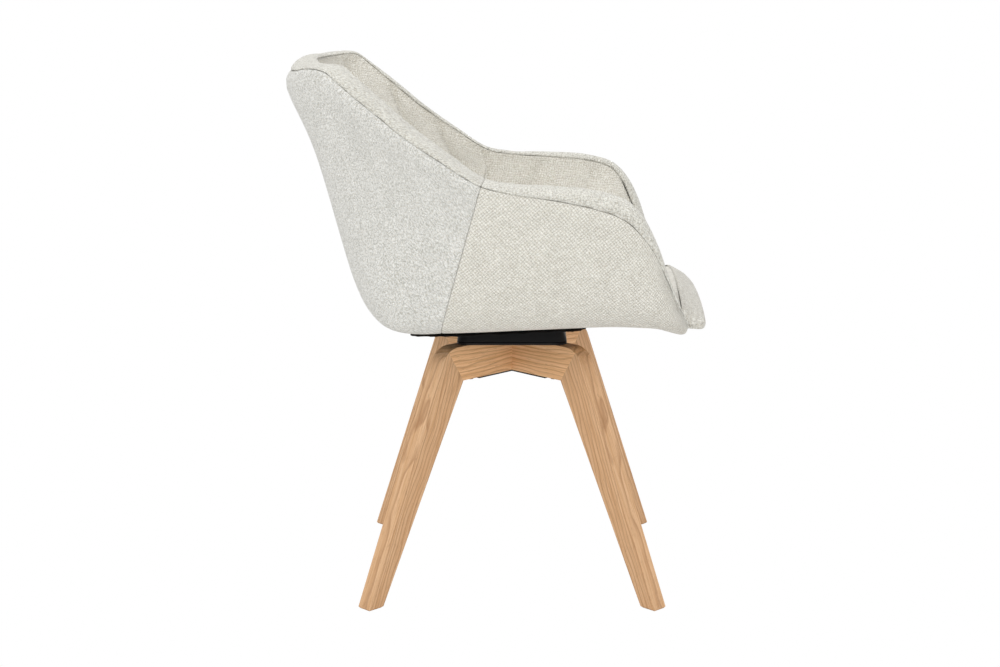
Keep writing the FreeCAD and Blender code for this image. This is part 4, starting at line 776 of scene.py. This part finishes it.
def cushion_edge():
    """The left half of the cushion's edge, from the middle of the back to its front corner."""
    places = np.linspace(MIDDLE, END - PAD_END, CUSHION_STEPS)
    heights = np.linspace(CUSHION_LEVEL_TOP, PAD_FOOT, CUSHION_LEVELS)
    face = chain.wall(places, heights, WALL_DEPTH - PAD_SINK)
    sides = cushion_side(np.abs(face[:, :, 1]))
    under_top = face[:, :, 2] < cushion_top(face[:, :, 0], sides) - CUSHION_EDGE_DROP
    under_top[:, -1] = True
    level = np.argmax(under_top, axis=1)
    in_pads = chain.wall(places, heights, WALL_DEPTH - PAD_SINK - CUSHION_UNDER_PAD)
    walls = in_pads[np.arange(len(places)), level]
    corner = np.array([BOARD_FRONT, FRONT_CORNER, 0.0])
    front = walls[-1] + (corner - walls[-1]) * np.linspace(0.1, 1.0, FRONT_STEPS)[:, None]
    edge = np.concatenate([walls, front])
    return edge[np.concatenate([[True], np.diff(edge[:, 0]) > LEAST_STEP])]


def cushion_ray(spot, middle, rays):
    """Points from the middle line out to one spot of the edge."""
    x = middle + (spot[0] - middle) * rays
    y = spot[1] * rays
    gap = np.hypot(spot[0] - x, spot[1] - y)
    z = cushion_top(x, cushion_side(y)) - tucked(gap, EDGE_TUCK)
    z -= EDGE_SLOPE * np.exp(-gap / EDGE_SLOPE_REACH)
    z -= REAR_DROP * fade_in(SPINE_REAR - x, REAR_DROP_REACH) ** 2
    return np.stack([x, y, z], axis=1)


def make_cushion():
    """The seat cushion, laid out from its middle line to where it meets the walls."""
    edge = cushion_edge()
    spine = np.clip(edge[:, 0], SPINE_REAR, BOARD_FRONT)
    near_edge = 1.0 - EDGE_SHARE * np.linspace(0.95, 0.0, EDGE_RAYS) ** EDGE_POWER
    rays = np.concatenate([np.linspace(0.0, 1.0 - EDGE_SHARE, OPEN_RAYS), near_edge])
    half = np.array([cushion_ray(spot, middle, rays) for spot, middle in zip(edge, spine)])
    grid = np.concatenate([half[::-1] * np.array([1.0, -1.0, 1.0]), half[1:]])
    x, y = grid[:, :, 0], grid[:, :, 1]
    wave = np.sin(x / WRINKLE_X + WRINKLE_SWAY * np.sin(y / WRINKLE_SWAY_Y))
    cross_wave = np.cos(y / WRINKLE_Y + WRINKLE_PLACE)
    grid[:, :, 2] += WRINKLE * wave * cross_wave * np.clip(rays * WRINKLE_RISE, 0.0, 1.0)
    piece = add_mesh("seat_cushion_cover", grid)
    if grid_normals(grid)[grid.shape[0] // 2 + 20, 20, 2] < 0:
        piece.data.flip_normals()
    finish_piece(piece, cloth_inside, ["seat_cushion"])


# The front roll's outline: shares of its run and drop along the top, then millimetres
ROLL_TOP = ((0.10, 0.03), (0.34, 0.21), (0.64, 0.47), (0.88, 0.76))
ROLL_LIP = ((-2.4, 2.0), (-3.2, -0.6), (0.0, -4.0), (-1.6, -7.6))
ROLL_UNDER, ROLL_REAR = ((-7.0, 0.0), (-16.0, 0.5)), ((6.0, 2.0), (0.0, 6.0))
ROLL_DIP, ROLL_BOW, ROLL_END_TUCK, ROLL_END_DROP, ROLL_END_POWER = 1.5, 10.0, 5.0, 6.0, 12
ROLL_ROUND_START, ROLL_LEAST, ROLL_CENTRE = 0.955, 0.0004, 6.0
ROLL_SLICES, ROLL_POINTS = 150, 73
ROLL_CELLS, ROLL_UNEVEN = (9, 3), 0.8


def smooth_line(points, count):
    """A smooth line through points, read at a number of even places."""
    places = np.linspace(0, len(points) - 1, count)
    index = np.clip(np.floor(places).astype(int), 0, len(points) - 2)
    ways = np.gradient(points, axis=0)
    part = (places - index)[:, None]
    return cubic(part, points[index], points[index + 1], ways[index], ways[index + 1])


def roll_slice(share):
    """The roll's outline at a share of its half width: over the top, round the lip and back below."""
    at_end = share ** ROLL_END_POWER
    tuck = ROLL_END_TUCK * at_end
    nose_x = ROLL_NOSE - ROLL_BOW * share ** 2 - tuck
    nose_z = board_plane(BOARD_FRONT, ROLL_NOSE_RISE)
    low = board_plane(BOARD_FRONT, -ROLL_DROP) + tuck / 2
    high = cushion_top(BOARD_FRONT, share) - ROLL_END_DROP * at_end - tuck
    run, drop = nose_x - BOARD_FRONT, high - nose_z
    outline = [(BOARD_FRONT, high - ROLL_DIP)]
    outline += [(BOARD_FRONT + ahead * run, high - down * drop) for ahead, down in ROLL_TOP]
    outline += [(nose_x + ahead, nose_z + up) for ahead, up in ROLL_LIP]
    outline += [(nose_x + ahead, low + up) for ahead, up in ROLL_UNDER]
    outline += [(BOARD_FRONT + ahead, low + up) for ahead, up in ROLL_REAR]
    line = smooth_line(np.array(outline), ROLL_POINTS)
    end = max(abs(share) - ROLL_ROUND_START, 0.0) / (1.0 - ROLL_ROUND_START)
    centre = np.array([BOARD_FRONT - ROLL_CENTRE, (high + low) / 2])
    line = centre + (line - centre) * math.sqrt(max(1.0 - end ** 2, ROLL_LEAST))
    return np.stack([line[:, 0], np.full(len(line), share * ROLL_HALF), line[:, 1]], axis=1)


def make_front_roll():
    """The roll at the front of the seat, with a stitched lip along its lower edge."""
    across = np.sin(np.linspace(-1.0, 1.0, ROLL_SLICES) * math.pi / 2)
    grid = np.array([roll_slice(share) for share in across])
    grid[:, :, 0] += soft_noise(grid.shape, ROLL_CELLS, ROLL_UNEVEN)
    piece = add_mesh("front_roll_cover", grid, turned=faces_spot(grid, ROLL_MIDDLE))
    finish_piece(piece, cloth_roll, ["front_roll"])


LINING_TURNS, LINING_DIPS, LINING_RINGS = 360, 60, 9
LINING_REAR_INSET, LINING_FRONT, LINING_SIDE_REACH = 14, 122.0, 3
LINING_HOLE, LINING_CORNER, HOLE_CORNER = 84.0, 7, 9
RAGGED_IN, RAGGED_OUT, DEEPEST_DIP = -3.0, 1.4, 2.6
LINING_SAG, LINING_EDGE_SAG = 2.0, 2.4
LINING_CLOTH = 0.5


def rounded_reach(c, s, length, width, corner):
    """Reach of a rounded rectangle in a direction."""
    return 1.0 / (abs(c / length) ** corner + abs(s / width) ** corner) ** (1 / corner)


def lining_strip(turn, middle, half, rough, dip):
    """Points of the lining from its hole out to its edge, in one direction."""
    c, s = math.cos(turn), math.sin(turn)
    length = half[0] - LINING_REAR_INSET if c < 0 else LINING_FRONT - middle[0]
    outer = rounded_reach(c, s, length, half[1] + LINING_SIDE_REACH, LINING_CORNER) + rough
    inner = rounded_reach(c, s, LINING_HOLE, LINING_HOLE, HOLE_CORNER)
    strip = []
    for share in np.linspace(0.0, 1.0, LINING_RINGS):
        reach = inner + (outer - inner) * share
        x, y = middle[0] * share + c * reach, s * reach
        sag = LINING_SAG + (LINING_EDGE_SAG + dip) * share ** 4
        strip.append((x, y, board_plane(x, -COVER - HEM_GAP - LAYER_GAP - sag)))
    return strip


def make_lining():
    """The black lining under the board, cut raggedly and hanging a little at its edge."""
    node_low, node_high = (np.array(corner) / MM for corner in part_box("dust_cover"))
    middle = (node_low + node_high) / 2
    half = (node_high - node_low) / 2
    rough = np.append(noise_source.uniform(RAGGED_IN, RAGGED_OUT, LINING_TURNS), 0.0)
    dips = np.append(noise_source.uniform(0.0, DEEPEST_DIP, LINING_DIPS), 1.0)
    steps = np.arange(LINING_TURNS + 1) % LINING_TURNS
    ragged = np.interp(steps, np.arange(len(rough)), rough)
    hanging = np.interp(steps * LINING_DIPS / LINING_TURNS, np.arange(len(dips)), dips)
    turns = np.linspace(0.0, 2 * math.pi, LINING_TURNS + 1)
    grid = np.array([lining_strip(turn, middle, half, *edge) for turn, *edge in zip(turns, ragged, hanging)])
    piece = add_mesh("lining_cloth", grid)
    if grid_normals(grid)[20, 4, 2] > 0:
        piece.data.flip_normals()
    cloth = grained("lining", colour(18, 18, 18), colour(36, 36, 37), 900.0, 0.75, bump=0.5, depth=0.0004)
    finish_piece(piece, cloth, ["dust_cover"], thickness=LINING_CLOTH * MM)


def make_shell():
    make_cover("back_cover", RIGHT_SEAM, LEFT_SEAM, cloth_back, "outer_back_cover")
    make_cover("side_cover_right", 0, RIGHT_SEAM, cloth_side, "outer_side_cover_right")
    make_cover("side_cover_left", LEFT_SEAM, END, cloth_side, "outer_side_cover_left")
    make_rim("rim_roll_back", RIGHT_SEAM, LEFT_SEAM, "rim_back")
    make_rim("rim_roll_right", 0, RIGHT_SEAM, "rim_right")
    make_rim("rim_roll_left", LEFT_SEAM, END, "rim_left")
    make_inside("back_inside", RIGHT_SEAM, LEFT_SEAM, "inner_back_pad")
    make_inside("arm_inside_right", PAD_END, RIGHT_SEAM, "inner_arm_pad_right")
    make_inside("arm_inside_left", LEFT_SEAM, END - PAD_END, "inner_arm_pad_left")


# Hard parts keep their shape and get their finish here

LEG_LEAN = 0.4333
LEG_ANGLES = {"front_left": 45.0, "rear_left": 135.0, "rear_right": 225.0, "front_right": 315.0}
RAIL_ANGLES = {"upper": 45.0, "lower": 135.0}
# The rails' oak is a lighter copy of the legs' oak: painted light that brightens the rails in the shade
# under the seat.
RAIL_PAINTED_LIGHT = 1.22


def paint(material, *names):
    for name in names:
        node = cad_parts[name]
        node.data.materials.clear()
        node.data.materials.append(material)


def paint_base():
    """Oak whose grain runs down each leg and along each rail."""
    for name, angle in LEG_ANGLES.items():
        c, s = math.cos(math.radians(angle)), math.sin(math.radians(angle))
        paint(oak("oak_leg_" + name, (c * LEG_LEAN, s * LEG_LEAN, -1.0), (-s, c, 0.0)), "leg_" + name)
    for name, angle in RAIL_ANGLES.items():
        c, s = math.cos(math.radians(angle)), math.sin(math.radians(angle))
        paint(oak("oak_rail_" + name, (c, s, 0.0), (-s, c, 0.0), RAIL_PAINTED_LIGHT), "cross_rail_" + name)


def paint_metal():
    black = grained("black_powder_coat", colour(7, 7, 8), colour(18, 18, 19), 1400.0, 0.42, bump=0.3)
    zinc = grained("zinc_plate", colour(150, 152, 156), colour(196, 198, 202), 900.0, 0.32,
                   bump=0.15, metallic=1.0)
    polished = grained("bearing_steel", colour(196, 198, 202), colour(222, 224, 228), 600.0, 0.12,
                       bump=0.03, metallic=1.0)
    paint(black, "cross_strap", "swivel_plate", "seat_bracket", "wedge_spacer", "rail_bolts",
          "bolt_washers", "strap_screws")
    paint(zinc, "plate_nuts", "lower_race", "upper_race", "turntable_disc", "pivot_pin",
          "pivot_washer", "pivot_nut", "seat_bolts", "tee_nuts")
    paint(polished, "bearing_balls")


def paint_wood_and_plastic():
    cage = grained("cage_nylon", colour(214, 208, 190), colour(230, 226, 212), 700.0, 0.45, bump=0.1)
    ply = grained("plywood", colour(176, 138, 96), colour(202, 168, 126), 420.0, 0.6, bump=0.3)
    beech = grained("beech", colour(196, 160, 118), colour(216, 184, 146), 500.0, 0.5, bump=0.2)
    glide = grained("glide_nylon", colour(20, 20, 20), colour(44, 44, 44), 800.0, 0.5, bump=0.3)
    shell = grained("shell_plastic", colour(40, 40, 42), colour(70, 70, 72), 600.0, 0.55, bump=0.3)
    paint(cage, "ball_cage")
    paint(ply, "seat_board")
    paint(beech, "mitre_dowels")
    paint(glide, "foot_glides")
    paint(shell, "moulded_shell")


# Camera, light and floor

CAMERA_PLACE, CAMERA_PITCH = (0.0, -3.2643, 1.0876), 11.972
CAMERA_LENS, SENSOR_WIDTH, SHIFT_X, FARTHEST = 73.14, 36.0, -0.012, 50.0
WHITE = (1.0, 1.0, 1.0, 1.0)
SOFT_LIGHT, SOFT_STRENGTH = (1.0, 0.995, 0.985, 1.0), 0.74
FLOOR_REACH, FLOOR_DROP, FLOOR_COLOUR = 6.0, 0.0005, (0.85, 0.85, 0.84, 1.0)
LIGHT_TARGET = (0.0, 0.0, 0.55)


def make_camera():
    data = bpy.data.cameras.new("camera")
    data.lens = CAMERA_LENS
    data.sensor_width = SENSOR_WIDTH
    data.shift_x = SHIFT_X
    data.clip_end = FARTHEST
    camera = bpy.data.objects.new("camera", data)
    camera.location = CAMERA_PLACE
    camera.rotation_euler = (math.radians(90.0 - CAMERA_PITCH), 0.0, 0.0)
    bpy.context.scene.collection.objects.link(camera)
    bpy.context.scene.camera = camera


def area_light(name, place, side, power):
    """A square lamp that looks at the seat."""
    data = bpy.data.lights.new(name, "AREA")
    data.shape = "RECTANGLE"
    data.size = side
    data.size_y = side
    data.energy = power
    light = bpy.data.objects.new(name, data)
    light.location = place
    way = Vector(np.array(LIGHT_TARGET) - np.array(place))
    light.rotation_euler = way.to_track_quat("-Z", "Y").to_euler()
    bpy.context.scene.collection.objects.link(light)


def make_world():
    """A white surround to the camera and a softer one to everything else."""
    world = bpy.data.worlds.new("studio")
    bpy.context.scene.world = world
    world.use_nodes = True
    nodes, links = world.node_tree.nodes, world.node_tree.links
    nodes.clear()
    path = nodes.new("ShaderNodeLightPath")
    either = nodes.new("ShaderNodeMixShader")
    out = nodes.new("ShaderNodeOutputWorld")
    links.new(path.outputs["Is Camera Ray"], either.inputs[0])
    for socket, tone, strength in ((1, SOFT_LIGHT, SOFT_STRENGTH), (2, WHITE, 1.0)):
        light = nodes.new("ShaderNodeBackground")
        light.inputs["Color"].default_value = tone
        light.inputs["Strength"].default_value = strength
        links.new(light.outputs[0], either.inputs[socket])
    links.new(either.outputs[0], out.inputs[0])


def floor_white():
    """White to the camera and a matt white surface to the light."""
    tree = Tree("floor_white")
    tree.put(tree.shader.inputs["Base Color"], FLOOR_COLOUR)
    tree.put(tree.shader.inputs["Roughness"], 1.0)
    tree.put(tree.shader.inputs["Specular IOR Level"], 0.0)
    glow = tree.add("Emission", {"Color": WHITE, "Strength": 1.0})
    ray = tree.add("LightPath")
    mixed = tree.add("MixShader", {0: ray.outputs["Is Camera Ray"], 1: tree.shader.outputs[0],
                                   2: glow.outputs[0]})
    tree.put(tree.nodes["Material Output"].inputs["Surface"], mixed.outputs[0])
    return tree.material


def make_floor():
    mesh = bpy.data.meshes.new("floor")
    corners = [(x * FLOOR_REACH, y * FLOOR_REACH, 0.0) for x, y in ((-1, -1), (1, -1), (1, 1), (-1, 1))]
    mesh.from_pydata(corners, [], [(0, 1, 2, 3)])
    mesh.materials.append(floor_white())
    floor = bpy.data.objects.new("floor", mesh)
    floor.location.z = -FLOOR_DROP
    bpy.context.scene.collection.objects.link(floor)


def make_lights():
    area_light("key", (-1.6, -2.6, 2.6), 1.8, 36.0)
    area_light("fill", (2.4, -2.2, 1.5), 1.8, 17.0)
    area_light("top", (0.0, 0.4, 3.0), 2.4, 22.0)


make_shell()
make_cushion()
make_front_roll()
make_lining()
paint_base()
paint_metal()
paint_wood_and_plastic()
make_camera()
bpy.context.scene.view_settings.view_transform = "Standard"
make_world()
make_floor()
make_lights()
